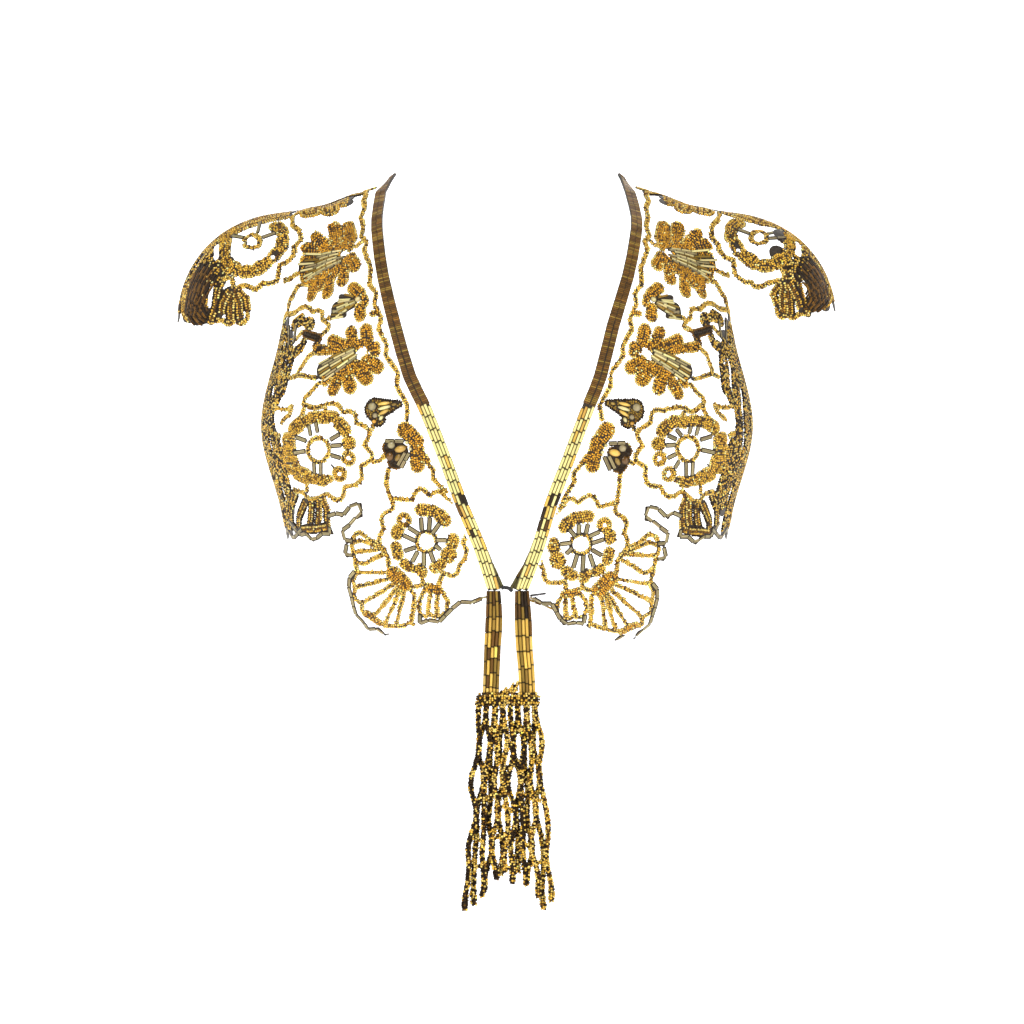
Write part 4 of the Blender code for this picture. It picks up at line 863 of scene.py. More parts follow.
FLOWERS = tuple(Flower(*row) for row in (
    # part, column, row, ring across, ring up, petals, spokes
    # petals as (column, row, column, row, radius, hole) and spokes as (from, to) in steps
    ("front", 318.5, 450.0, 10.5, 12.2,
     ((334, 417.5, 322, 417, 6.4, 0.0), (322, 417, 311, 418, 6.0, 0.0),
      (311, 418, 300, 424, 5.6, 0.0), (300, 424, 293, 430, 6.6, 0.0),
      (290, 441, 287, 441, 7.0, 0.0), (291, 452, 287, 452, 7.6, 0.0),
      (292, 463, 287, 463, 8.6, 0.0), (306, 476, 296, 472, 7.0, 0.0),
      (314, 478, 306, 477, 5.6, 0.0), (323.5, 480, 315, 479, 5.8, 0.0),
      (340, 474, 339, 474, 7.8, 2.4), (348.5, 458.5, 348, 458, 7.8, 2.4),
      (349, 443, 348, 443, 7.4, 0.0), (345, 430, 339, 423, 7.2, 0.0),
      (330, 479, 322, 480, 4.0, 0.0)),
     ((307, 441, 296, 437), (306, 451, 294, 453), (307, 459, 296, 468), (314, 462, 315, 474),
      (321, 462, 321, 475), (328, 461, 334, 468), (331, 455, 341, 458), (331, 446, 342, 445),
      (330, 440, 340, 434), (325, 436, 331, 425), (318, 433, 316, 422), (311, 436, 309, 425))),
    ("front", 426.5, 541.5, 10.2, 10.4,
     ((404, 520.5, 404, 520, 8.3, 2.4), (397, 534, 398, 530, 6.8, 0.0),
      (396, 547, 398, 555, 6.0, 0.0), (408, 566, 405, 564, 6.2, 0.0),
      (421, 568, 422, 573, 5.9, 0.0), (435, 568, 441, 564, 6.2, 0.0),
      (448, 556, 449, 554, 8.3, 0.0), (453, 539.5, 452, 544, 6.8, 0.0),
      (444.5, 520.5, 440, 515, 7.2, 0.0), (421, 509.5, 435, 511.5, 6.8, 0.0),
      (410, 568, 418, 570, 4.4, 0.0)),
     ((408, 527, 419, 534), (403, 535, 416, 541), (404, 551, 416, 547), (412, 562, 418, 551),
      (424, 566, 424, 552), (434, 562, 430, 551), (441, 550, 435, 545), (447, 540, 436, 540),
      (440, 523, 432, 534), (421, 517, 422, 531), (430, 517, 429, 531))),
    ("cap", 252.0, 241.5, 8.0, 6.8,
     ((282, 231.5, 276, 226, 6.4, 0.0), (282, 246.5, 283, 238, 6.2, 0.0),
      (272.5, 257.5, 278, 251, 6.4, 1.8), (257.5, 269, 265, 263, 7.4, 0.0),
      (244, 272, 251, 271, 6.9, 0.0), (233, 267, 237, 270, 6.9, 0.0),
      (225, 245, 224, 257, 5.9, 0.0), (231, 233, 225, 240, 5.4, 0.0),
      (262, 266, 268, 260, 4.4, 0.0), (226, 260, 230, 265, 4.6, 0.0)),
     ((260, 222, 257, 234), (247, 224, 246, 235), (232, 236, 244, 238), (230, 244, 244, 243),
      (262, 238, 276, 233), (249, 249, 248, 262), (256, 249, 260, 262))),
))
# The glass drop: (column, row, column, row, radius, radius) in steps
DROP = Drop((
    # column, row, column, row, radius, radius
    (376, 409.5, 399, 404, 12.6, 4.0),
    (376, 410, 378, 419, 12.0, 8.2),
))
# Strands, in mm and steps
STRANDS = tuple(Strand(*row) for row in (
    # part, radius in mm, points as (column, row, bulge)
    ("front", STRAND, ((366, 190, 0), (366, 196, 0), (363.5, 201, 0), (365, 208, 0),
                       (361, 217, 0), (363.5, 227, 0), (361.5, 236, 0), (367, 242.5, 0),
                       (364, 249, 0), (371, 268, 0.5), (369.5, 285, 0), (376.5, 293, 0.8),
                       (374.5, 304, 0), (381.5, 319, 0.5), (378.5, 329, 0), (387, 345, 1),
                       (385.5, 355, 0), (398, 373, 0.5), (396.5, 386, -1), (407.5, 405, 0.5),
                       (407, 420, 0))),
    ("front", STRAND, ((349, 247, 0), (357, 246, 0), (362, 241, 0))),
    ("front", 3.2, ((347, 197, 0), (356, 195, 0), (365, 193, 0))),
    ("front", 1.5, ((363, 191, 0), (376, 187.5, 0))),
    # Dense edge over the shoulder
    ("front", 6.5, ((285, 211, 0), (300, 207.5, 0), (320, 203.5, 0), (340, 197.5, 0),
                    (350, 193.5, 0))),
    ("front", 6.0, ((285, 212.5, 0), (300, 209, 0), (320, 205.5, 0), (340, 199.5, 0),
                    (350, 195.5, 0))),
    ("front", 4.6, ((287, 215, 0), (300, 212, 0), (320, 208, 0), (340, 202.5, 0),
                    (349, 199, 0))),
    ("front", 5.0, ((306, 211, 0), (307, 214, 0), (314, 213, 0), (314, 210, 0))),
    ("front", 5.0, ((327, 208, 0), (328, 212.5, 0), (333, 211, 0), (333, 207, 0))),
    ("front", 5.0, ((343, 200, 0), (343, 204, 0), (348, 203, 0))),
    ("front", STRAND, ((286, 214, 0), (294, 219, 0))),
    ("front", STRAND, ((306, 284, 0), (298, 286, 0), (293, 296, 0), (288, 308, 0), (288, 313, 0),
                       (282, 321, 0), (281.5, 332, 0))),
    ("front", STRAND, ((289, 314, -1.5), (299, 309, 4), (313, 312, 6), (322, 319, 7),
                       (322, 334, 0))),
    ("front", STRAND, ((328, 318, 0), (333, 318, 0))),
    ("front", 1.5, ((303, 331, 0), (297, 338, 0), (290, 347, 0))),
    ("front", SPOKE, ((296.5, 326, 0), (294, 343, 0))),
    ("front", SPOKE, ((289.5, 326, 0), (289.5, 346, 0))),
    ("front", STRAND, ((314, 352, 0), (307, 358, 0), (303, 365, 0), (298, 372, 0),
                       (299, 376, 0))),
    ("front", STRAND, ((290, 378, 0), (299, 375, 0), (317, 378, 0))),
    ("front", STRAND, ((320, 382, 0), (312, 391, 0), (305, 398, 0), (303, 405, 0))),
    ("front", STRAND, ((298, 420, -2), (304, 404, -4), (326, 404, 4.5), (343, 412, 6.5),
                       (356.5, 423, 10), (364, 445, 10), (361, 466, 9), (345, 487, 10.5),
                       (327, 494, 1.5), (308, 500, 0))),
    ("front", STRAND, ((325, 408, 0), (328, 416, 0))),
    ("front", STRAND, ((307, 480, 0), (307, 492, 0))),
    ("front", STRAND, ((294, 490, 0), (303, 492, 0), (309, 499, 0))),
    ("front", STRAND, ((270, 409, 0), (288, 409, 0), (292.5, 406, 0), (290, 414, 0),
                       (281, 423, 0))),
    ("front", STRAND, ((270, 432, 0), (280, 436, 0), (275, 445, 0))),
    ("front", STRAND, ((371, 431, 0), (374, 424, 0))),
    ("front", STRAND, ((371, 458, 0), (374, 462, 0), (380, 460, 0), (387, 454, 0))),
    ("front", STRAND, ((389, 468, 0), (386, 481, 0), (388, 490, 0), (391, 499, 1.5),
                       (392, 510, -6.5), (384, 529, -4.5), (383, 551, 0), (388, 556, 0),
                       (389, 570, 0))),
    ("front", STRAND, ((390, 498, 1), (412, 500, 9.5), (430, 496, 5.5), (446, 497, 0),
                       (455, 503, 0))),
    ("front", STRAND, ((426, 461, 0), (433.5, 470, 0), (433, 478, 0), (442, 488, 0),
                       (448, 492, 0), (455, 502, 0), (458.5, 506, 0), (458.5, 516, 7),
                       (463, 542, 5), (460, 565, 7), (443, 573, 0), (438, 587, 0))),
    ("front", STRAND, ((439, 566, 0), (443, 573, 0))),
    ("front", STRAND, ((422, 574, 0), (423, 585, 0))),
    # Lower side fan
    ("front", 3.2, ((296, 492, 0), (291, 508, 0), (292, 524, 0), (298, 532, 0))),
    ("front", 2.9, ((306, 501, 0), (299, 518, 0), (299, 530, 0), (310, 529, 0),
                    (318, 529, 0), (327, 527, 0))),
    ("front", 2.9, ((312, 500, 0), (311, 518, 0), (309, 528, 0))),
    ("front", 2.6, ((319, 500, 0), (319, 516, 0), (317, 528, 0))),
    ("front", 2.6, ((322, 498, 0), (327, 510, 0), (327, 526, 0))),
    # Upper left fan
    ("front", STRAND, ((352, 538, 5.5), (367, 538, 0), (380, 545, 0), (385, 550, 0))),
    ("front", STRAND, ((352, 543, 2), (366, 542, 0), (385, 550, 0))),
    ("front", STRAND, ((354, 552, 0), (382, 549, 0))),
    ("front", STRAND, ((356, 561, -3), (371, 560, 0), (386, 553, 0))),
    ("front", STRAND, ((352, 538, 0), (352, 546, 0), (355, 559, 0), (357, 572, -3),
                       (355, 588, -4), (362, 604, -4), (372, 619, 1), (385, 626, 0),
                       (403, 626, 0), (409, 623, 0), (414, 624, 0))),
    # Large fan
    ("front", STRAND, ((357, 572, 0), (394, 572, 0))),
    ("front", STRAND, ((356, 587, 1), (376, 582, 0), (394, 577, 0))),
    ("front", STRAND, ((362, 603, 0), (381, 592, 0), (396, 582, 0))),
    ("front", STRAND, ((372, 618, 0), (386, 602, 0), (397, 588, 0))),
    ("front", STRAND, ((385, 624, 0), (395, 602, 0), (400, 588, 0))),
    ("front", STRAND, ((396, 625, 0), (402, 602, 0), (405, 588, 0))),
    ("front", STRAND, ((411, 622, 0), (414, 606, 0), (414, 595, 0), (408, 586, 0))),
    # Small fan
    ("front", STRAND, ((404, 586, 0), (414, 587, 0), (424, 584, 0), (438, 587, 0))),
    ("front", STRAND, ((425, 589, 0), (420, 600, 0), (419, 608, 0), (421, 616, 0))),
    ("front", STRAND, ((431, 590, 0), (429, 603, 0), (428, 615, 0))),
    ("front", STRAND, ((438, 590, 0), (437, 604, 0), (437, 615, 0))),
    ("front", STRAND, ((441, 590, 0), (448, 601, 0), (447, 611, 0), (441, 617, 1.5),
                       (430, 614, 1.5), (420, 615, 0))),
    # Bugle edges
    ("front", BUGLE_EDGE, ((289, 520, 0), (300, 535, 0), (307, 533, 0), (313.5, 541, 0),
                           (323, 533, 0), (333, 534, 0), (330, 527, 0))),
    ("front", BUGLE_EDGE, ((328, 516, 0), (337, 513, 0), (342, 517, 0), (352, 504, 0),
                           (361, 503.5, 0), (362, 516.5, 0), (353, 518.5, 0), (349, 527, 0),
                           (342, 530.5, 0), (343, 535, 0), (347, 543, 0), (353, 541, 0))),
    ("front", BUGLE_EDGE, ((347, 544, 0), (344, 551, 0), (347, 557, 0), (353, 555, 0))),
    ("front", BUGLE_EDGE, ((355, 571, 0), (350, 575, 0), (349, 587, 0), (353, 601, 0),
                           (355, 613, 0), (364, 622, 0), (367, 629, 0), (379, 628, 0),
                           (385, 635, 0), (397, 631, 0), (404, 632, 0), (415, 624, 0))),
    ("front", BUGLE_EDGE, ((420, 614, 0), (420, 624, 0), (430, 619, 0), (441, 622, 0),
                           (448, 611, 0), (454, 607, 0), (461, 601, 0), (474, 602.5, 0),
                           (482, 598, 0))),
    # Shoulder cap: rim, strands to the front and the fan at its foot
    ("cap", 6.0, ((289, 211, 0), (270, 214, 0), (256, 218.5, 0), (243, 222.5, 0),
                  (228, 231, 0), (214, 239, 0), (203, 250, 0))),
    ("cap", 5.5, ((289, 213, 0), (270, 216, 0), (256, 220.5, 0), (243, 224.5, 0),
                  (230, 232.5, 0), (216, 241, 0), (205, 252, 0))),
    ("cap", 3.6, ((289, 216, 0), (270, 219.5, 0), (256, 223.5, 0), (243, 228, 0),
                  (230, 235.5, 0), (218, 243, 0), (208, 254, 0), (200, 266, 0),
                  (191, 281, 0), (184, 298, 0), (184, 311, 0), (191, 319, 0))),
    ("cap", STRAND, ((293, 216, 0), (293, 226, 3), (301, 240, 0), (294, 247, 1.5),
                     (292, 257, 1.5), (280, 265, 0), (278, 280, 0))),
    ("cap", STRAND, ((278, 280, 2), (262, 283, 5), (248, 286, -2), (236, 290, 0))),
    ("cap", STRAND, ((215, 280, 0), (222, 280, 0), (232, 277, 0), (234, 288, 0))),
    ("cap", 2.7, ((229, 290, 0), (222, 303, 0), (220, 314, 0))),
    ("cap", 2.7, ((231, 290, 0), (230, 303, 0), (230, 320, 0))),
    ("cap", 2.6, ((234, 290, 0), (238, 303, 0), (240, 320, 0))),
    ("cap", 2.2, ((238, 290, 0), (246, 299, 0), (248, 310, 0))),
    ("cap", 3.0, ((218, 290, 0), (216, 306, 0), (211, 321, 0))),
    ("cap", STRAND, ((209, 322, -1), (222, 320, -4.5), (235, 319, -4.5), (247, 319, 0),
                     (248, 307, 0))),
    ("cap", STRAND, ((223, 293, 0), (216, 290, 0), (212, 280, 0))),
    ("front", STRAND, ((284, 281, 0), (290, 279, 0), (297, 274, 0), (306, 269, 0))),
    ("front", STRAND, ((300, 243, 0), (309, 247, 0))),
))
SIDE_STRANDS = tuple(SideStrand(*row) for row in (
    # part, radius in mm, wave in mm, wave length in mm, points as (around, height)
    ("front", 5.6, 1.6, 34.0, ((3, -106), (3, -238))),
    ("front", 5.8, 1.9, 34.0, ((17, -99), (15, -130), (18, -170), (17, -240))),
    ("front", 5.8, 1.9, 34.0, ((31, -102), (29, -130), (33, -170), (32, -200), (34, -240))),
    ("front", 5.4, 1.9, 34.0, ((44, -110), (42, -130), (46, -152))),
    ("front", 5.4, 1.9, 34.0, ((46, -176), (46, -200), (48, -226))),
    ("front", BUGLE_EDGE, 0.0, 1.0, ((0, -246), (24, -240), (40, -246), (60, -240))),
    ("cap", 6.5, 0.0, 1.0, ((3, -42), (3, -93))),
    ("cap", 6.5, 0.0, 1.0, ((16, -48), (16, -93))),
    ("cap", 6.0, 0.0, 1.0, ((28, -60), (28, -94))),
))
GEMS = tuple(Gem(*row) for row in (
    # column, row, half length and half width in steps, angle in degrees, tone
    # The drop
    (372.5, 406.5, 4.4, 4.2, 0.0, Tone.GLASS),
    (384.0, 403.5, 6.6, 1.9, 8.0, Tone.HONEY),
    (384.5, 407.8, 6.8, 2.0, 14.0, Tone.CREAM),
    (384.0, 412.2, 6.0, 1.9, 26.0, Tone.HONEY),
    (394.5, 404.5, 2.8, 1.6, 10.0, Tone.OLIVE),
    (375.5, 415.5, 2.9, 2.7, 0.0, Tone.GLASS),
    (374.5, 421.5, 2.4, 2.0, 0.0, Tone.AMBER),
    (381.5, 418.0, 3.0, 1.9, 50.0, Tone.CREAM),
    # The bud
    (391.5, 445.0, 3.9, 3.7, 0.0, Tone.GLASS),
    (400.5, 449.0, 6.0, 3.6, 14.0, Tone.HONEY),
    (390.0, 456.5, 4.0, 4.4, 0.0, Tone.BROWN),
    (398.0, 457.5, 4.4, 2.6, 60.0, Tone.OLIVE),
    (407.0, 442.5, 1.9, 1.8, 0.0, Tone.CREAM),
    (410.5, 449.0, 1.9, 1.8, 0.0, Tone.CREAM),
    # The palmettes' eyes
    (358.5, 299.5, 3.2, 2.8, 30.0, Tone.CREAM),
))
BUD_BUGLES = tuple(Strand("front", SPOKE, row) for row in (
    ((385, 441, 0), (404, 441.5, 0)),
    ((409, 453, 0), (401, 468, 0)),
    ((405.5, 452, 0), (397.5, 466, 0)),
))


# The neck band

@dataclass(frozen=True)
class BandPoint:
    """Middle of the neck band at one height, with its width in mm."""

    left_column: float
    right_column: float
    row: float
    wide: float


@dataclass(frozen=True)
class BandLine:
    """Course of the two halves of the neck band."""

    points: Tuple[BandPoint, ...] = tuple(BandPoint(*row) for row in (
        # left column, right column, row, width in mm
        (493.5, 522.0, 589.0, 8.6),
        (479.5, 538.5, 546.0, 8.8),
        (461.5, 551.0, 504.0, 8.8),
        (446.5, 567.0, 463.0, 8.8),
        (423.5, 589.0, 405.0, 8.9),
        (409.5, 600.5, 376.0, 8.9),
        (395.0, 613.0, 326.0, 8.7),
        (383.0, 628.0, 276.0, 8.2),
        (378.0, 635.0, 240.0, 8.1),
        (377.0, 636.5, 218.0, 8.0),
        (381.0, 630.0, 192.0, 7.4),
    ))
    top: Tuple[float, float, float] = (77.0, -0.5, 5.0)
    back_join: float = -251.0
    back_foot: float = 5.6

    def course(self, side: Side) -> Tuple[Array, Array]:
        """Middle line from the front foot over the shoulder to the back, and widths."""
        right = side is Side.RIGHT
        spots = [(2.0 * AXIS_COLUMN - p.right_column if right else p.left_column, p.row)
                 for p in self.points]
        curve = Layout(side).exact(smooth(spots, 2))
        widths = [p.wide for p in self.points]
        wide = np.interp(np.arange(len(curve)) / 2.0, np.arange(len(widths)), widths)
        x, z, narrow = self.top
        top = FIGURE.settle(np.array(((-x, 0.0, z),)), False)
        back = curve[::-1] * np.array((1.0, -1.0, 1.0))
        low = np.clip((self.back_join - back[:, 2]) / (self.back_join - back[-1, 2]), 0.0, 1.0)
        back[:, 0] += low ** 2 * (-self.back_foot - back[-1, 0])
        back = FIGURE.settle(back, False)
        return np.vstack((curve, top, back)), np.concatenate((wide, (narrow,), wide[::-1]))

    def clearance(self, side: Side) -> List[Bar]:
        """Bars that keep the lace clear of the band."""
        path, wide = self.course(side)
        return [(path[i], path[i + 1], wide[i] / 2 + SEAM_CUT, wide[i + 1] / 2 + SEAM_CUT)
                for i in range(len(path) - 1)]


BAND = BandLine()


class Ground:
    """Thread ground of one lace piece: a cut sheet on the form."""

    def __init__(self, work: Work, chart_box: Tuple[float, float, float, float]) -> None:
        """Spread the grid of knots over the form."""
        around_first, around_last, up_first, up_last = chart_box
        self.work = work
        arounds = np.arange(around_first, around_last + GRID, GRID)
        ups = np.arange(up_first, up_last + GRID, GRID)
        self.chart = np.stack(np.meshgrid(arounds, ups, indexing="ij"), -1)
        flat = self.chart.reshape(-1, 2)
        self.points = FIGURE.lift(flat, work.arm).reshape(self.chart.shape[:2] + (3,))
        self.field = np.full(self.chart.shape[:2], 9.0)

    def distance(self, bars: Sequence[Bar]) -> Array:
        """Distance in mm from each knot to the nearest bar, less than 0 inside."""
        found = np.full(self.chart.shape[:2], 9.0)
        corner = self.chart[0, 0]
        for a, b, first, last in bars:
            ends = FIGURE.chart_of(np.array((a, b)))
            reach = (max(first, last) + 3.0) * 2.4
            low = np.floor((ends.min(0) - reach - corner) / GRID).astype(int)
            high = np.ceil((ends.max(0) + reach - corner) / GRID).astype(int) + 1
            low = np.maximum(low, 0)
            if (high <= low).any():
                continue
            window = (slice(low[0], high[0]), slice(low[1], high[1]))
            spots = self.points[window]
            line = b - a
            along = np.clip(((spots - a) @ line) / max(line @ line, 1e-9), 0.0, 1.0)
            gap = np.linalg.norm(spots - a - along[..., None] * line, axis=-1)
            found[window] = np.minimum(found[window], gap - first - (last - first) * along)
        return found

    def clear_islands(self) -> None:
        """Drop the small loose pieces of the ground."""
        inside = self.field < -THREAD_INSET
        label = np.zeros(inside.shape, dtype=int)
        sizes = [0]
        for start in zip(*np.nonzero(inside)):
            if label[start]:
                continue
            label[start] = len(sizes)
            stack, size = [start], 0
            while stack:
                i, j = stack.pop()
                size += 1
                for spot in ((i + 1, j), (i - 1, j), (i, j + 1), (i, j - 1)):
                    if inside[spot] and not label[spot]:
                        label[spot] = len(sizes)
                        stack.append(spot)
            sizes.append(size)
        for index in np.argsort(sizes)[:-1]:
            if 0 < sizes[index] < SMALLEST_ISLAND:
                LOG.info("island of %d knots dropped", sizes[index])
                for i, j in zip(*np.nonzero(label == index)):
                    self.field[i - 1:i + 2, j - 1:j + 2] = 9.0

    def cut(self, outside: Array) -> None:
        """Keep the ground only where the given field is below 0 as well."""
        self.field = np.maximum(self.field, outside)

    def restore(self, bars: Sequence[Bar]) -> None:
        """Keep the lace under bars that cross a cut."""
        self.field = np.minimum(self.field, self.distance(bars))

    def close(self) -> None:
        """End the sheet inside the chart."""
        self.field[:, :1] = self.field[:, -1:] = 9.0
        self.field[:1] = self.field[-1:] = 9.0

    def value(self, points: Array) -> Array:
        """The field at points near the form."""
        chart = (FIGURE.chart_of(points) - self.chart[0, 0]) / GRID
        low = np.clip(np.floor(chart).astype(int), 0, np.array(self.field.shape) - 2)
        share = np.clip(chart - low, 0.0, 1.0)
        i, j = low[:, 0], low[:, 1]
        u, v = share[:, 0], share[:, 1]
        return (self.field[i, j] * (1 - u) * (1 - v) + self.field[i + 1, j] * u * (1 - v)
                + self.field[i, j + 1] * (1 - u) * v + self.field[i + 1, j + 1] * u * v)

    def holds(self, bugle: Bugle) -> bool:
        """Whether the lace reaches under the whole of a bugle."""
        spots = np.array([bugle.start, (bugle.start + bugle.end) / 2.0, bugle.end])
        return bool((self.value(spots) < (1.3, 0.9, 1.3)).all())

    def loops(self) -> List[Tuple[Array, Array]]:
        """Closed outlines of the field's inside as (chart, points) pairs."""
        spots: Dict[tuple, Tuple[Array, Array]] = {}
        links: Dict[tuple, tuple] = {}
        chart, points, value = self.chart, self.points, self.field + THREAD_INSET

        def crossing(one: tuple, other: tuple) -> tuple:
            """Key of the outline's place between two knots.

            Args:
                one: a knot.
                other: the next knot.

            Returns:
                The key, the same from either side.
            """
            first, second = min(one, other), max(one, other)
            key = first + second
            if key not in spots:
                low, high = value[first], value[second]
                t = min(max(low / (low - high), 0.02), 0.98)
                spots[key] = (chart[first] * (1 - t) + chart[second] * t,
                              points[first] * (1 - t) + points[second] * t)
            return key

        inside = value < 0.0
        mixed = (inside[:-1, :-1].astype(int) + inside[1:, :-1] + inside[1:, 1:]
                 + inside[:-1, 1:])
        for i, j in zip(*np.nonzero((mixed > 0) & (mixed < 4))):
            corners = ((i, j), (i + 1, j), (i + 1, j + 1), (i, j + 1))
            state = [inside[c] for c in corners]
            leave, enter = [], []
            for k in range(4):
                if state[k] != state[(k + 1) % 4]:
                    key = crossing(corners[k], corners[(k + 1) % 4])
                    (leave if state[k] else enter).append((k, key))
            middle = sum(value[c] for c in corners) < 0.0
            for k, key in leave:
                if len(enter) == 1:
                    links[key] = enter[0][1]
                else:
                    links[key] = dict(enter)[(k + 1) % 4 if middle else (k + 3) % 4]
        found = []
        while links:
            start, current = links.popitem()
            loop = [start]
            while current != start:
                loop.append(current)
                current = links.pop(current)
            found.append((np.array([spots[k][0] for k in loop]),
                          np.array([spots[k][1] for k in loop])))
        return found

    def mesh(self) -> Tuple[Array, List[Tuple[int, int, int]]]:
        """The ground's middle surface as points in mm and triangles facing out."""
        loops = self.loops()
        areas = [loop_area(solid) for _, solid in loops]
        way = turned_left(loops[int(np.argmax(areas))][0])
        outers = [flat for flat, _ in loops if turned_left(flat) == way]
        verts: List[Vector] = []
        rings: List[List[int]] = []
        for area, (flat, solid) in zip(areas, loops):
            hole = turned_left(flat) != way
            if area < SMALLEST_GAP or (hole and not any(within(flat[0], o) for o in outers)):
                continue
            keep = thin_out(solid, OUTLINE_TOLERANCE)
            if len(keep) > 2:
                rings.append(list(range(len(verts), len(verts) + len(keep))))
                verts += [Vector(flat[k]) for k in keep]
        every = 6
        knots = self.chart[::every, ::every].reshape(-1, 2)
        deep = self.field[::every, ::every].reshape(-1) < -1.0 - THREAD_INSET
        verts += [Vector(spot) for spot in knots[deep]]
        made = geometry.delaunay_2d_cdt(verts, [], rings, 2, 1e-5)
        flat = np.array([tuple(v) for v in made[0]])
        points = FIGURE.lift(flat, self.work.arm)
        faces = [tuple(face) for face in made[2]]
        a, b, c = faces[0]
        normal = FIGURE.normals(points[a][None], self.work.arm)[0]
        if np.cross(points[b] - points[a], points[c] - points[a]) @ normal < 0.0:
            faces = [face[::-1] for face in faces]
        return points, faces


def loop_area(points: Array) -> float:
    """Area inside a closed loop of points."""
    centre = points.mean(0)
    fans = np.cross(points - centre, np.roll(points, -1, axis=0) - centre)
    return 0.5 * float(np.linalg.norm(fans.sum(0)))


def turned_left(chart: Array) -> bool:
    """Whether a chart loop runs counter-clockwise."""
    following = np.roll(chart, -1, axis=0)
    return float((chart[:, 0] * following[:, 1] - chart[:, 1] * following[:, 0]).sum()) > 0.0


def within(spot: Array, loop: Array) -> bool:
    """Whether a chart spot lies inside a closed chart loop."""
    following = np.roll(loop, -1, axis=0)
    across = (loop[:, 1] > spot[1]) != (following[:, 1] > spot[1])
    rise = np.where(across, following[:, 1] - loop[:, 1], 1.0)
    cut = loop[:, 0] + (spot[1] - loop[:, 1]) * (following[:, 0] - loop[:, 0]) / rise
    return int(np.count_nonzero(across & (cut > spot[0]))) % 2 == 1


def thin_out(points: Array, tolerance: float) -> List[int]:
    """Indices of a closed loop that keep its shape within the tolerance."""
    count = len(points)
    far = int(np.argmax(np.linalg.norm(points - points[0], axis=1)))
    keep = {0, far}
    spans = [(0, far), (far, count)]
    while spans:
        first, last = spans.pop()
        if last - first < 2:
            continue
        a, b = points[first], points[last % count]
        line = b - a
        between = points[first + 1:last]
        along = np.clip(((between - a) @ line) / max(line @ line, 1e-9), 0.0, 1.0)
        gap = np.linalg.norm(between - a - along[:, None] * line, axis=1)
        worst = int(np.argmax(gap))
        if gap[worst] > tolerance:
            index = first + 1 + worst
            keep.add(index)
            spans += [(first, index), (index, last)]
    return sorted(keep)


# Placed beads

@dataclass
class Beads:
    """Placed copies of one bead: places, axes and colours, in mm."""

    places: Array
    along: Array
    out: Array
    sizes: Array
    colors: Array

    @staticmethod
    def joined(groups: Sequence["Beads"]) -> "Beads":
        """All beads of several groups as one."""
        return Beads(*[np.concatenate([getattr(g, name) for g in groups])
                       for name in ("places", "along", "out", "sizes", "colors")])

    def mirrored(self, x: bool, y: bool) -> "Beads":
        """The beads on another side of the shawl."""
        flip = np.array((-1.0 if x else 1.0, -1.0 if y else 1.0, 1.0))
        return Beads(self.places * flip, self.along * flip, self.out * flip, self.sizes,
                     self.colors)


def seed_tone(tone: Tone, chance: float) -> Tone:
    """Colour of one seed: brown ones are near black or gold, and others vary a little."""
    if tone is Tone.BROWN:
        tone = Tone.DARK if chance < 0.5 else Tone.GOLD if chance < 0.8 else Tone.STRAW
    if tone is Tone.DARK:
        return tone
    return Tone.BRONZE if chance < 0.12 else Tone.PALE if chance > 0.97 else tone


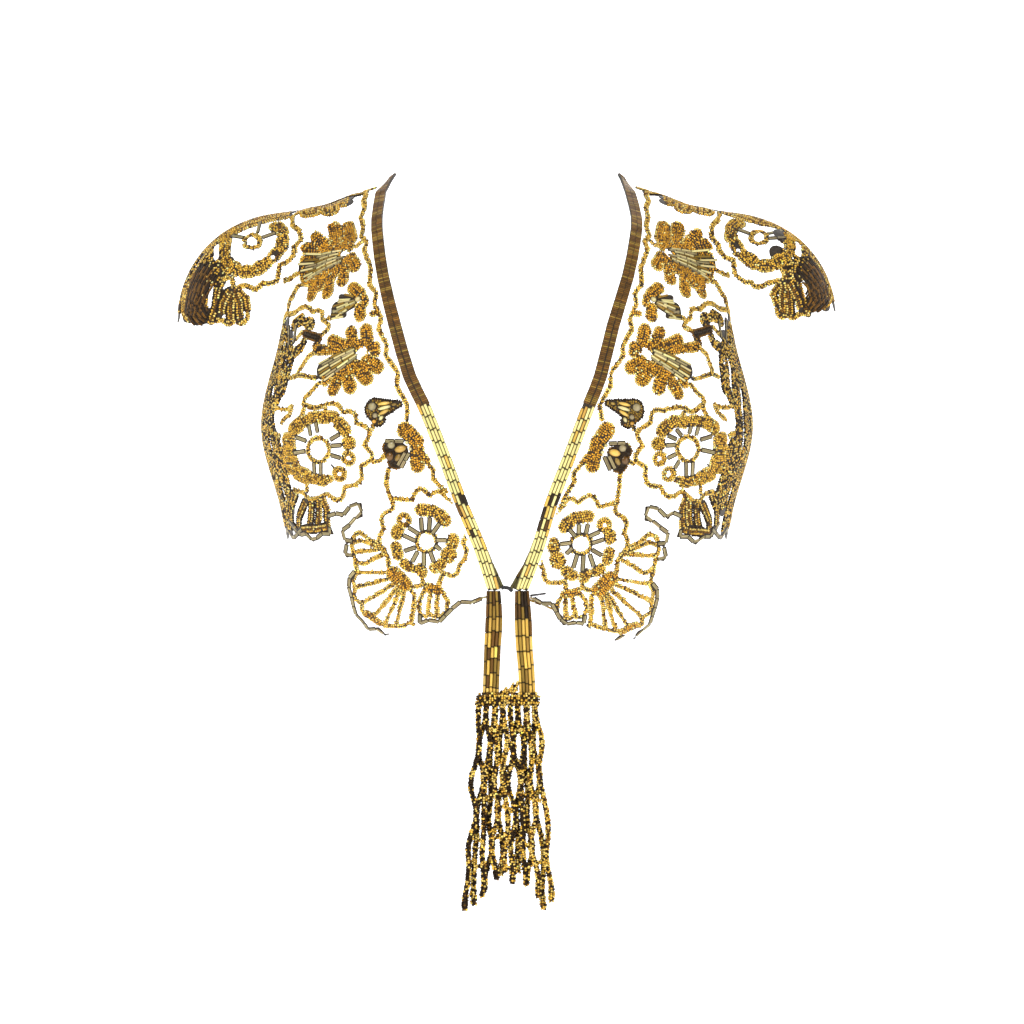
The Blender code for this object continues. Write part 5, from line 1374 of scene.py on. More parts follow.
class Beading:
    """Places rows of seeds so that no two beads crowd each other."""

    def __init__(self, arm: bool, seed: int) -> None:
        """Start with no beads placed."""
        self.arm = arm
        self.random = np.random.default_rng(seed)
        self.cells: Dict[Tuple[int, int, int], List[Array]] = {}

    def free(self, spot: Array) -> bool:
        """Whether a bead fits at the spot."""
        i, j, k = (int(math.floor(c / CROWD)) for c in spot)
        for cell in ((i + a, j + b, k + c) for a in (-1, 0, 1) for b in (-1, 0, 1)
                     for c in (-1, 0, 1)):
            for other in self.cells.get(cell, ()):
                if abs(other[0] - spot[0]) < CROWD and np.dot(other - spot, other - spot) \
                        < CROWD * CROWD:
                    return False
        return True

    def take(self, spot: Array) -> None:
        """Note that the spot is taken."""
        key = tuple(int(math.floor(c / CROWD)) for c in spot)
        self.cells.setdefault(key, []).append(spot)

    def colors(self, tones: Sequence[Tone]) -> Array:
        """One varied colour for each tone."""
        base = np.array([tone.linear() for tone in tones])
        spread = np.array([tone.value[1] for tone in tones])[:, None]
        light = self.random.normal(0.0, 1.0, (len(tones), 1))
        hue = self.random.normal(0.0, HUE_SPREAD, (len(tones), 3))
        return np.clip(base * np.exp(spread * light + hue), 0.003, 1.0)

    def seeds(self, rows: Sequence[Row], field_at: Callable[[Array], Array]) -> Beads:
        """Beads of all rows, first come first served.

        Args:
            rows: the rows in order of priority.
            field_at: function from points to their distance outside the lace.

        Returns:
            The placed beads.
        """
        places, along, tones = [], [], []
        for row in rows:
            spots = spaced(row.line, SEED_PITCH, row.closed, self.random.random())
            spots = spots + self.random.normal(0.0, JITTER, spots.shape)
            if len(spots) > 1:
                way = np.gradient(spots, axis=0)
            else:
                way = np.array([row.line[-1] - row.line[0] + 1e-6])
            for spot, line, level in zip(spots, way, field_at(spots)):
                if level < -BEAD_INSET and self.free(spot):
                    self.take(spot)
                    places.append(spot)
                    along.append(line)
                    outer = row.rim is not None and level > -2.0 * EDGE_ROW
                    tones.append(row.rim if outer else row.tone)
        spots = FIGURE.settle(np.array(places), self.arm)
        # Each seed leans towards the front, which turns its painted highlight to face it
        out = FIGURE.normals(spots, self.arm) + np.array((0.0, -TURNED_OUT, 0.0))
        out = out / np.linalg.norm(out, axis=1, keepdims=True)
        count = len(spots)
        size = SEED_RADIUS * self.random.normal(1.0, SIZE_SPREAD, (count, 1))
        sizes = np.hstack((size * 0.92, size, size))
        chance = self.random.random(count)
        tones = [seed_tone(tone, at) for tone, at in zip(tones, chance)]
        return Beads(spots, np.array(along), out, sizes, self.colors(tones))

    def tubes(self, bugles: Sequence[Bugle], stand: float = 0.35) -> Beads:
        """Bugle beads lying just proud of the ground."""
        start = np.array([b.start for b in bugles])
        end = np.array([b.end for b in bugles])
        middle = (start + end) / 2.0
        out = FIGURE.normals(middle, self.arm)
        along = end - start
        length = np.linalg.norm(along, axis=1)
        radius = np.array([b.radius for b in bugles])
        for a, b in zip(start, end):
            for t in np.linspace(0.05, 0.95, max(2, int(np.linalg.norm(b - a) / 1.2))):
                self.take(a * (1.0 - t) + b * t)
        sizes = np.stack((length / 2.0, radius, radius), 1)
        colors = self.colors([b.tone for b in bugles])
        return Beads(middle + out * stand, along, out, sizes, colors)


# Finishes

Feed = Union["Value", bpy.types.NodeSocket, float, Sequence[float]]


class Value:
    """Shader socket with arithmetic: each expression adds its Math nodes."""

    def __init__(self, finish: "Nodes", socket: bpy.types.NodeSocket) -> None:
        """Wrap a socket of a finish."""
        self.finish = finish
        self.socket = socket

    def _math(self, operation: str, other: Feed) -> "Value":
        """One Math node of this socket and another or a number."""
        node = self.finish.add("ShaderNodeMath", {"operation": operation}, {0: self, 1: other})
        return Value(self.finish, node.outputs[0])

    def __add__(self, other: Feed) -> "Value":
        """Sum."""
        return self._math("ADD", other)

    __radd__ = __add__

    def __mul__(self, other: Feed) -> "Value":
        """Product."""
        return self._math("MULTIPLY", other)

    __rmul__ = __mul__


class Nodes:
    """Builds one material's nodes."""

    def __init__(self, name: str) -> None:
        """Start a material of one shader."""
        self.material = bpy.data.materials.new(name)
        self.material.use_nodes = True
        self.tree = self.material.node_tree
        self.shader = self.tree.nodes["Principled BSDF"]

    def add(self, kind: str, settings: Optional[dict] = None,
            values: Optional[dict] = None) -> bpy.types.Node:
        """Add a node.

        Args:
            kind: the node's type name.
            settings: attributes set first; "stops" fills a ramp with (place, colour) pairs.
            values: numbers, colours or links for its inputs, by name or number.

        Returns:
            The node.
        """
        node = self.tree.nodes.new(kind)
        for name, value in (settings or {}).items():
            if name == "stops":
                ramp = node.color_ramp.elements
                while len(ramp) < len(value):
                    ramp.new(0.5)
                for element, (place, color) in zip(ramp, value):
                    element.position = place
                    element.color = (*color, 1.0)
            else:
                setattr(node, name, value)
        for name, value in (values or {}).items():
            self.feed(node.inputs[name], value)
        return node

    def feed(self, socket: bpy.types.NodeSocket, value: Feed) -> None:
        """Give a socket a link, a number or a colour."""
        if isinstance(value, Value):
            self.tree.links.new(value.socket, socket)
        elif isinstance(value, bpy.types.NodeSocket):
            self.tree.links.new(value, socket)
        else:
            socket.default_value = value

    def value(self, socket: bpy.types.NodeSocket) -> Value:
        """A socket as a Value."""
        return Value(self, socket)

    def noise(self, scale: float, detail: float = 2.0) -> Value:
        """Noise on Object coordinates, 0 to 1."""
        place = self.add("ShaderNodeTexCoord").outputs["Object"]
        node = self.add("ShaderNodeTexNoise", {}, {"Vector": place, "Scale": scale,
                                                   "Detail": detail})
        return self.value(node.outputs[0])

    def mixed(self, share: Feed, one: Feed, other: Feed) -> bpy.types.NodeSocket:
        """Mix of two colours, as a socket."""
        node = self.add("ShaderNodeMix", {"data_type": "RGBA"})
        self.feed(node.inputs[0], share)
        self.feed(node.inputs[6], one)
        self.feed(node.inputs[7], other)
        return node.outputs[2]

    def bump(self, height: Feed, strength: float, distance: float) -> bpy.types.NodeSocket:
        """Bump from a height, as a normal socket."""
        node = self.add("ShaderNodeBump", {}, {"Height": height, "Strength": strength,
                                               "Distance": distance})
        return node.outputs[0]

    def principled(self, **values) -> bpy.types.Material:
        """Set the shader's inputs, with underscores for spaces, and return the material."""
        for name, value in values.items():
            self.feed(self.shader.inputs[name.replace("_", " ")], value)
        return self.material


# Vertex colour of the beads: each bead's colour times its painted shade and highlight
COLOR_NAME = "bead_color"


@dataclass(frozen=True)
class GlassFinish:
    """Lined glass beads coloured bead by bead, with painted shade and highlight in their vertex colours."""

    name: str
    roughness: float
    coat: float
    gloss: float

    def build(self) -> bpy.types.Material:
        """Make the material."""
        nodes = Nodes(self.name)
        # The vertex colour holds the bead's colour with painted shade at its foot and a painted highlight at its
        # crown
        own = nodes.add("ShaderNodeAttribute", {"attribute_name": COLOR_NAME}).outputs["Color"]
        cloudy = nodes.noise(420.0)
        color = nodes.mixed(cloudy * 0.3, own, (0.09, 0.05, 0.012, 1.0))
        rough = self.roughness + cloudy * 0.14
        normal = nodes.bump(nodes.noise(1400.0), 0.15, 0.0001)
        return nodes.principled(Base_Color=color, Roughness=rough, Normal=normal,
                                Coat_Weight=self.coat, Coat_Roughness=0.12,
                                Specular_IOR_Level=self.gloss)


@dataclass(frozen=True)
class ThreadFinish:
    """Twisted cotton thread seen between the beads; its dark colour there also stands in as painted shade between
    them.
    """

    name: str
    dark: Tuple[float, float, float]
    light: Tuple[float, float, float]
    roughness: float = 0.85

    def build(self) -> bpy.types.Material:
        """Make the material."""
        nodes = Nodes(self.name)
        grain = nodes.noise(900.0, 3.0)
        ramp = nodes.add("ShaderNodeValToRGB", {"stops": ((0.35, self.dark), (0.7, self.light))},
                         {0: grain})
        normal = nodes.bump(grain, 0.6, 0.0004)
        return nodes.principled(Base_Color=ramp.outputs[0], Roughness=self.roughness,
                                Normal=normal, Sheen_Weight=0.2)


@dataclass(frozen=True)
class WireFinish:
    """Darkened steel wire."""

    name: str

    def build(self) -> bpy.types.Material:
        """Make the material."""
        nodes = Nodes(self.name)
        worn = nodes.noise(700.0)
        color = nodes.mixed(worn, (0.03, 0.028, 0.03, 1.0), (0.16, 0.15, 0.15, 1.0))
        return nodes.principled(Base_Color=color, Metallic=0.9, Roughness=0.3 + worn * 0.25)


class Finishes:
    """All materials of the shawl."""

    def __init__(self) -> None:
        """Make every material once."""
        self.seed = GlassFinish("seed_bead_glass", 0.42, 0.0, 0.16).build()
        self.tube = GlassFinish("bugle_bead_glass", 0.34, 0.0, 0.22).build()
        self.stone = GlassFinish("stone_glass", 0.14, 0.2, 0.4).build()
        # Near-black thread ground and cores: the thread itself, and painted shade in the gaps between beads
        self.thread = ThreadFinish("brown_thread_and_painted_shade", (0.010, 0.006, 0.002),
                                   (0.045, 0.027, 0.010)).build()
        self.cord = ThreadFinish("black_cord", (0.006, 0.006, 0.006), (0.03, 0.03, 0.03)).build()
        self.wire = WireFinish("dark_wire").build()


# Prototypes

@dataclass(frozen=True)
class Shape:
    """Small mesh that is copied many times: points with unit half sizes, faces, and a painted shade factor for
    each point that darkens the foot and lightens the crown.
    """

    points: Array
    faces: Tuple[Tuple[int, ...], ...]
    shade: Array

    @staticmethod
    def taken(under: float, over: float, fall: float, end: float = 1.0) -> "Shape":
        """The active object's mesh as a shape; the object is removed.

        Args:
            under: painted shade at its foot, as a factor on its colour.
            over: painted highlight at its crown, as a factor on its colour.
            fall: how quickly the painted shade darkens it down from the crown.
            end: painted shade at its two ends beside that.
        """
        made = bpy.context.active_object
        points = np.array([tuple(v.co) for v in made.data.vertices])
        faces = tuple(tuple(p.vertices) for p in made.data.polygons)
        mesh = made.data
        bpy.data.objects.remove(made, do_unlink=True)
        bpy.data.meshes.remove(mesh)
        # Painted light: the colour is lightened at the crown as a painted highlight, and darkened towards the
        # foot and at the ends as painted shade
        rise = np.clip(points[:, 2] * 0.5 + 0.5, 0.0, 1.0)
        shade = under + (over - under) * rise ** fall
        shade = shade * np.where(np.abs(points[:, 0]) > 0.93, end, 1.0)
        return Shape(points, faces, shade)


def deselect() -> None:
    """Leave nothing selected."""
    bpy.ops.object.select_all(action="DESELECT")


def seed_shape() -> Shape:
    """Rounded seed bead along X."""
    deselect()
    bpy.ops.mesh.primitive_ico_sphere_add(subdivisions=1, radius=1.0)
    bpy.ops.object.mode_set(mode="EDIT")
    bpy.ops.transform.resize(value=(0.94, 1.04, 1.04))
    bpy.ops.object.mode_set(mode="OBJECT")
    # Painted shade at the foot, painted highlight at the crown
    return Shape.taken(0.10, 1.75, 4.0)


def plain_seed_shape() -> Shape:
    """Seed bead of few faces for the back, flat on the thread."""
    deselect()
    bpy.ops.mesh.primitive_cone_add(vertices=5, radius1=1.04, depth=1.1,
                                    location=(0.0, 0.0, 0.4))
    bpy.ops.object.transform_apply(location=True, rotation=True, scale=True)
    # Painted shade at the foot, painted highlight at the crown
    return Shape.taken(0.10, 1.75, 4.0)


def tube_shape(sides: int = 6, rim: float = 0.86) -> Shape:
    """Bugle bead along X, with painted shade at its rims."""
    deselect()
    bpy.ops.mesh.primitive_cylinder_add(vertices=sides, radius=1.0, depth=2.0,
                                        rotation=(0.0, math.pi / 2.0, 0.0))
    bpy.ops.object.transform_apply(location=True, rotation=True, scale=True)
    bpy.ops.object.mode_set(mode="EDIT")
    for place in (-rim, rim):
        bpy.ops.mesh.select_all(action="SELECT")
        bpy.ops.mesh.bisect(plane_co=(place, 0.0, 0.0), plane_no=(1.0, 0.0, 0.0))
    bpy.ops.object.mode_set(mode="OBJECT")
    # Painted shade at the foot and the ends, painted highlight at the crown
    return Shape.taken(0.16, 1.2, 2.4, 0.15)


def stone_shape() -> Shape:
    """Domed stone with its flat side down, along X."""
    deselect()
    bpy.ops.mesh.primitive_uv_sphere_add(segments=18, ring_count=10, radius=1.0)
    # Painted shade underneath, painted highlight on the dome
    return Shape.taken(0.05, 1.1, 2.0)


def copies(shape: Shape, beads: Beads) -> Tuple[Array, Array, Array]:
    """All copies of a shape as points in mm, faces and one colour for each point, the bead's colour times the
    shape's painted shade and highlight.
    """
    along = beads.along / np.maximum(np.linalg.norm(beads.along, axis=1, keepdims=True), 1e-9)
    out = beads.out - along * (beads.out * along).sum(1, keepdims=True)
    out /= np.maximum(np.linalg.norm(out, axis=1, keepdims=True), 1e-9)
    side = np.cross(out, along)
    axes = np.stack((along * beads.sizes[:, :1], side * beads.sizes[:, 1:2],
                     out * beads.sizes[:, 2:3]), 1)
    points = np.einsum("pk,nkx->npx", shape.points, axes) + beads.places[:, None]
    count = len(shape.points)
    points = points.reshape(-1, 3)
    colors = (beads.colors[:, None] * shape.shade[None, :, None]).reshape(-1, 3)
    starts = np.arange(len(beads.places)) * count
    return points, starts, colors


def bead_mesh(name: str, groups: Sequence[Tuple[Shape, Beads]], material: bpy.types.Material) -> bpy.types.Object:
    """One joined mesh of many beads.

    Args:
        name: the piece's name.
        groups: shapes with their placed copies.
        material: the finish.

    Returns:
        The piece, riding on the shawl.
    """
    points, colors, corners, sizes = [], [], [], []
    total = 0
    for shape, beads in groups:
        made, starts, tint = copies(shape, beads)
        points.append(made)
        colors.append(tint)
        flat = np.array([v for face in shape.faces for v in face])
        corners.append((starts[:, None] + flat[None] + total).reshape(-1))
        sizes.append(np.tile([len(face) for face in shape.faces], len(starts)))
        total += len(made)
    place = np.concatenate(points) * METRE
    corner = np.concatenate(corners).astype(np.int32)
    size = np.concatenate(sizes).astype(np.int32)
    mesh = bpy.data.meshes.new(name)
    mesh.vertices.add(len(place))
    mesh.vertices.foreach_set("co", place.reshape(-1))
    mesh.loops.add(len(corner))
    mesh.loops.foreach_set("vertex_index", corner)
    mesh.polygons.add(len(size))
    mesh.polygons.foreach_set("loop_start", np.concatenate(((0,), np.cumsum(size)[:-1])))
    mesh.polygons.foreach_set("use_smooth", np.ones(len(size), dtype=bool))
    mesh.update(calc_edges=True)
    tint = mesh.attributes.new(COLOR_NAME, "FLOAT_COLOR", "POINT")
    color = np.concatenate(colors)
    tint.data.foreach_set("color", np.hstack((color, np.ones((len(color), 1)))).reshape(-1))
    return dressed(mesh, name, material)


def dressed(mesh: bpy.types.Mesh, name: str, material: bpy.types.Material) -> bpy.types.Object:
    """Object of a mesh with its finish, riding on the shawl."""
    mesh.materials.append(material)
    piece = bpy.data.objects.new(name, mesh)
    bpy.context.scene.collection.objects.link(piece)
    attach(piece, "root")
    return piece


def plain_mesh(name: str, points: Array, faces: Sequence[Sequence[int]]) -> bpy.types.Mesh:
    """Mesh from points in mm and faces."""
    mesh = bpy.data.meshes.new(name)
    mesh.from_pydata([tuple(p) for p in points * METRE], [], [tuple(f) for f in faces])
    mesh.validate()
    return mesh


def apply_all(piece: bpy.types.Object) -> None:
    """Apply the piece's modifiers in order."""
    deselect()
    bpy.context.view_layer.objects.active = piece
    piece.select_set(True)
    for modifier in list(piece.modifiers):
        bpy.ops.object.modifier_apply(modifier=modifier.name)
    piece.select_set(False)


# The lace

@dataclass
class Lace:
    """Thread grounds and beads of the quarters and the caps."""

    finishes: Finishes
    quarter_chart: Tuple[float, float, float, float] = (-2.0, 232.0, -208.0, 160.0)
    cap_chart: Tuple[float, float, float, float] = (-138.0, 138.0, -4.0, 150.0)
    quarter_flat: Tuple[float, float] = (0.21, 0.30)
    cap_flat: Tuple[float, float] = (0.13, 0.16)

    def work(self, part: Part, side: Side) -> Work:
        """Everything that one left-hand piece is made of."""
        work = Work(Layout(side, part is Part.CAP), part)
        groups: Tuple[tuple, ...] = (MOTIFS, FLOWERS, STRANDS, SIDE_STRANDS)
        if part is Part.QUARTER:
            DROP.lay(work)
            for item in GEMS + BUD_BUGLES:
                item.lay(work)
        for group in groups:
            for item in group:
                if item.part == part.value:
                    item.lay(work)
        return work

    def build(self, shapes: Dict[str, Shape]) -> List[bpy.types.Object]:
        """Make all lace pieces."""
        pieces = []
        for side in Side:
            right = side is Side.RIGHT
            cap = self.work(Part.CAP, side)
            quarter = self.work(Part.QUARTER, side)
            pieces += self.quarters(quarter, cap, side, right, shapes)
            pieces += self.cap(cap, side, right, shapes)
        return pieces

    def quarters(self, work: Work, cap: Work, side: Side, right: bool,
                 shapes: Dict[str, Shape]) -> List[bpy.types.Object]:
        """The front quarter of one side and its mirror image behind."""
        ground = Ground(work, self.quarter_chart)
        ground.field = ground.distance(work.bars)
        ground.cut(-ground.distance(work.cuts))
        ground.restore(work.over)
        ground.cut(ground.points[..., 1] + SEAM_HALF)
        ground.cut(SEAM_CUT - ground.distance(cap.bars))
        ground.cut(-ground.distance(BAND.clearance(side)))
        ground.close()
        ground.clear_islands()
        beading = Beading(False, 11 + right)
        stones = stone_beads(work.stones, beading)
        tubes = beading.tubes([b for b in work.bugles if ground.holds(b)])
        seeds = beading.seeds(work.rims + work.rows, ground.value)
        LOG.info("%s quarter: %d seeds, %d bugles", side.value, len(seeds.places),
                 len(tubes.places))
        points, faces = ground.mesh()
        pieces = []
        for back in (False, True):
            where = ("back_" if back else "front_") + side.value
            node = where + "_lace"
            groups = (("seed_beads_", "plain_seed" if back else "seed", seeds, "seed"),
                      ("bugles_", "tube", tubes, "tube"),
                      ("drop_stones_", "stone", stones, "stone"))
            parts = [bead_mesh(kind + where, [(shapes[shape], beads.mirrored(right, back))],
                               getattr(self.finishes, finish))
                     for kind, shape, beads, finish in groups]
            pieces.append(self.sheet("thread_ground_" + where, points, faces, (right, back),
                                     node, self.quarter_flat, parts))
            pieces += parts
        return pieces

    def cap(self, work: Work, side: Side, right: bool,
            shapes: Dict[str, Shape]) -> List[bpy.types.Object]:
        """The shoulder cap of one side, front and back halves in one."""
        ground = Ground(work, self.cap_chart)
        ground.field = ground.distance(work.bars + behind(work.bars))
        ground.cut(-ground.distance(work.cuts + behind(work.cuts)))
        ground.restore(work.over + behind(work.over))
        ground.cut(-ground.distance(BAND.clearance(side)))
        ground.close()
        ground.clear_islands()
        beading = Beading(True, 21 + right)
        bugles = work.bugles + [bugle.behind() for bugle in work.bugles]
        tubes = beading.tubes([b for b in bugles if ground.holds(b)])
        rows = [both for row in work.rims + work.rows for both in (row, row.behind())]
        seeds = beading.seeds(rows, ground.value)
        LOG.info("%s cap: %d seeds, %d bugles", side.value, len(seeds.places),
                 len(tubes.places))
        parts = [bead_mesh(kind + "_cap_" + side.value,
                           [(shapes[shape], beads.mirrored(right, False))],
                           getattr(self.finishes, shape))
                 for kind, shape, beads in (("seed_beads", "seed", seeds),
                                            ("bugles", "tube", tubes))]
        points, faces = ground.mesh()
        sheet = self.sheet("thread_ground_cap_" + side.value, points, faces, (right, False),
                           "shoulder_cap_" + side.value, self.cap_flat, parts)
        return [sheet] + parts

    def sheet(self, name: str, points: Array, faces: Sequence[Sequence[int]],
              flips: Tuple[bool, bool], node: str, flat: Tuple[float, float],
              parts: List[bpy.types.Object]) -> bpy.types.Object:
        """The thread ground of one piece as a thin solid sheet with the thread finish."""
        flip = np.array((-1.0 if flips[0] else 1.0, -1.0 if flips[1] else 1.0, 1.0))
        if flips[0] != flips[1]:
            faces = [face[::-1] for face in faces]
        mesh = plain_mesh(name, points * flip, faces)
        # Dark thread ground: the thread, and painted shade in the gaps between the beads
        piece = dressed(mesh, name, self.finishes.thread)
        solid = piece.modifiers.new("thickness", "SOLIDIFY")
        solid.thickness = THREAD_THICK * METRE
        solid.offset = 0.0
        apply_all(piece)
        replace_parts(piece, node)
        return piece


def behind(bars: Sequence[Bar]) -> List[Bar]:
    """Mirror images of bars on the other side of the seam."""
    return [(a * (1, -1, 1), b * (1, -1, 1), r, s) for a, b, r, s in bars]


def stone_beads(stones: Sequence[Stone], beading: Beading) -> Beads:
    """Glass stones lying on the ground."""
    places = np.array([s.place for s in stones])
    out = FIGURE.normals(places, False)
    sizes = np.array([(s.half_long, s.half_wide, s.half_high) for s in stones])
    for stone in stones:
        side = stone.along / np.linalg.norm(stone.along)
        other = np.cross(FIGURE.normals(stone.place[None], False)[0], side)
        for k in range(16):
            u, v = polar(0.7, 22.5 * k)
            beading.take(stone.place + side * u * stone.half_long + other * v * stone.half_wide)
        beading.take(stone.place)
    colors = beading.colors([s.tone for s in stones])
    return Beads(places + out * 0.9, np.array([s.along for s in stones]), out, sizes, colors)


# Band, straps and fringe

@dataclass(frozen=True)
class StrapPoint:
    """Middle of a strap at one row, with its half width in layout steps."""

    row: float
    left_column: float
    right_column: float
    half: float


STRAPS = (StrapPoint(591.0, 493.5, 522.0, 7.4), StrapPoint(606.0, 494.0, 522.6, 8.4),
          StrapPoint(624.0, 494.0, 523.4, 9.2), StrapPoint(645.0, 492.6, 524.0, 8.8),
          StrapPoint(670.0, 491.6, 526.4, 8.6), StrapPoint(696.0, 490.6, 527.6, 8.6))


@dataclass(frozen=True)
class FringeStrand:
    """One hanging string of the fringe."""

    side: Side
    head: float
    foot: float
    foot_row: float


L, R = Side.LEFT, Side.RIGHT
FRINGE = (FringeStrand(L, 481.0, 465.5, 911.0), FringeStrand(L, 485.0, 472.5, 906.0),
          FringeStrand(L, 489.0, 481.0, 897.0), FringeStrand(L, 493.0, 488.0, 883.0),
          FringeStrand(L, 497.0, 494.5, 880.0), FringeStrand(L, 501.0, 500.5, 876.0),
          FringeStrand(L, 504.5, 506.0, 872.0), FringeStrand(R, 511.5, 512.5, 884.0),
          FringeStrand(R, 515.5, 518.5, 873.0), FringeStrand(R, 519.5, 524.5, 880.0),
          FringeStrand(R, 523.5, 530.5, 886.0), FringeStrand(R, 528.0, 537.0, 898.0),
          FringeStrand(R, 532.0, 544.5, 910.0), FringeStrand(R, 536.0, 551.5, 902.0))


def front_point(column: float, row: float, depth: float) -> Tuple[float, float, float]:
    """Point in mm at a grid place and a depth."""
    return (column - AXIS_COLUMN) * STEP, depth, (NECK_ROW - row) * STEP


def strap_depth(side: Side) -> float:
    """Front-to-back place where a strap hangs."""
    return float(BAND.course(side)[0][0][1])


def thread_core(name: str, lines: Sequence[Tuple[Array, Array, Array, Array]],
                thick: float, thread: bpy.types.Material) -> bpy.types.Object:
    """Flat thread core under beads, one closed bar for each line.

    Args:
        name: the piece's name.
        lines: middle line, directions across and outward, and half width of each bar.
        thick: half thickness in mm.
        thread: the finish.
    """
    points: List[Array] = []
    faces: List[Tuple[int, ...]] = []
    for line, across, out, half in lines:
        first = sum(len(group) for group in points)
        corners = [line + across * (half * u)[:, None] + out * (thick * v)
                   for u, v in ((-1.0, -1.0), (1.0, -1.0), (1.0, 1.0), (-1.0, 1.0))]
        points.append(np.stack(corners, 1).reshape(-1, 3))
        for ring in range(len(line) - 1):
            for k in range(4):
                a, b = first + ring * 4 + k, first + ring * 4 + (k + 1) % 4
                faces.append((a, b, b + 4, a + 4))
        last = first + 4 * (len(line) - 1)
        faces += [(first + 3, first + 2, first + 1, first),
                  (last, last + 1, last + 2, last + 3)]
    mesh = plain_mesh(name, np.concatenate(points), faces)
    piece = dressed(mesh, name, thread)
    deselect()
    bpy.context.view_layer.objects.active = piece
    piece.select_set(True)
    bpy.ops.object.mode_set(mode="EDIT")
    bpy.ops.mesh.select_all(action="SELECT")
    bpy.ops.mesh.normals_make_consistent(inside=False)
    bpy.ops.object.mode_set(mode="OBJECT")
    piece.select_set(False)
    return piece


class Tubes:
    """Bugles gathered one by one, in mm."""

    def __init__(self) -> None:
        """Start with no tubes."""
        self.places: List[Array] = []
        self.along: List[Array] = []
        self.out: List[Array] = []
        self.sizes: List[Tuple[float, float, float]] = []
        self.tones: List[Tone] = []

    def add(self, ends: Tuple[Array, Array], out: Array, half: Tuple[float, float],
            tone: Tone) -> None:
        """Add one bugle.

        Args:
            ends: its two ends.
            out: the direction that its front faces.
            half: half its width across and half its height.
            tone: its colour.
        """
        self.places.append((ends[0] + ends[1]) / 2.0)
        self.along.append(ends[1] - ends[0])
        self.out.append(out)
        self.sizes.append((float(np.linalg.norm(ends[1] - ends[0])) / 2.0, *half))
        self.tones.append(tone)

    def beads(self, random: Beading) -> Beads:
        """All bugles as placed beads."""
        return Beads(np.array(self.places), np.array(self.along), np.array(self.out),
                     np.array(self.sizes), random.colors(self.tones))


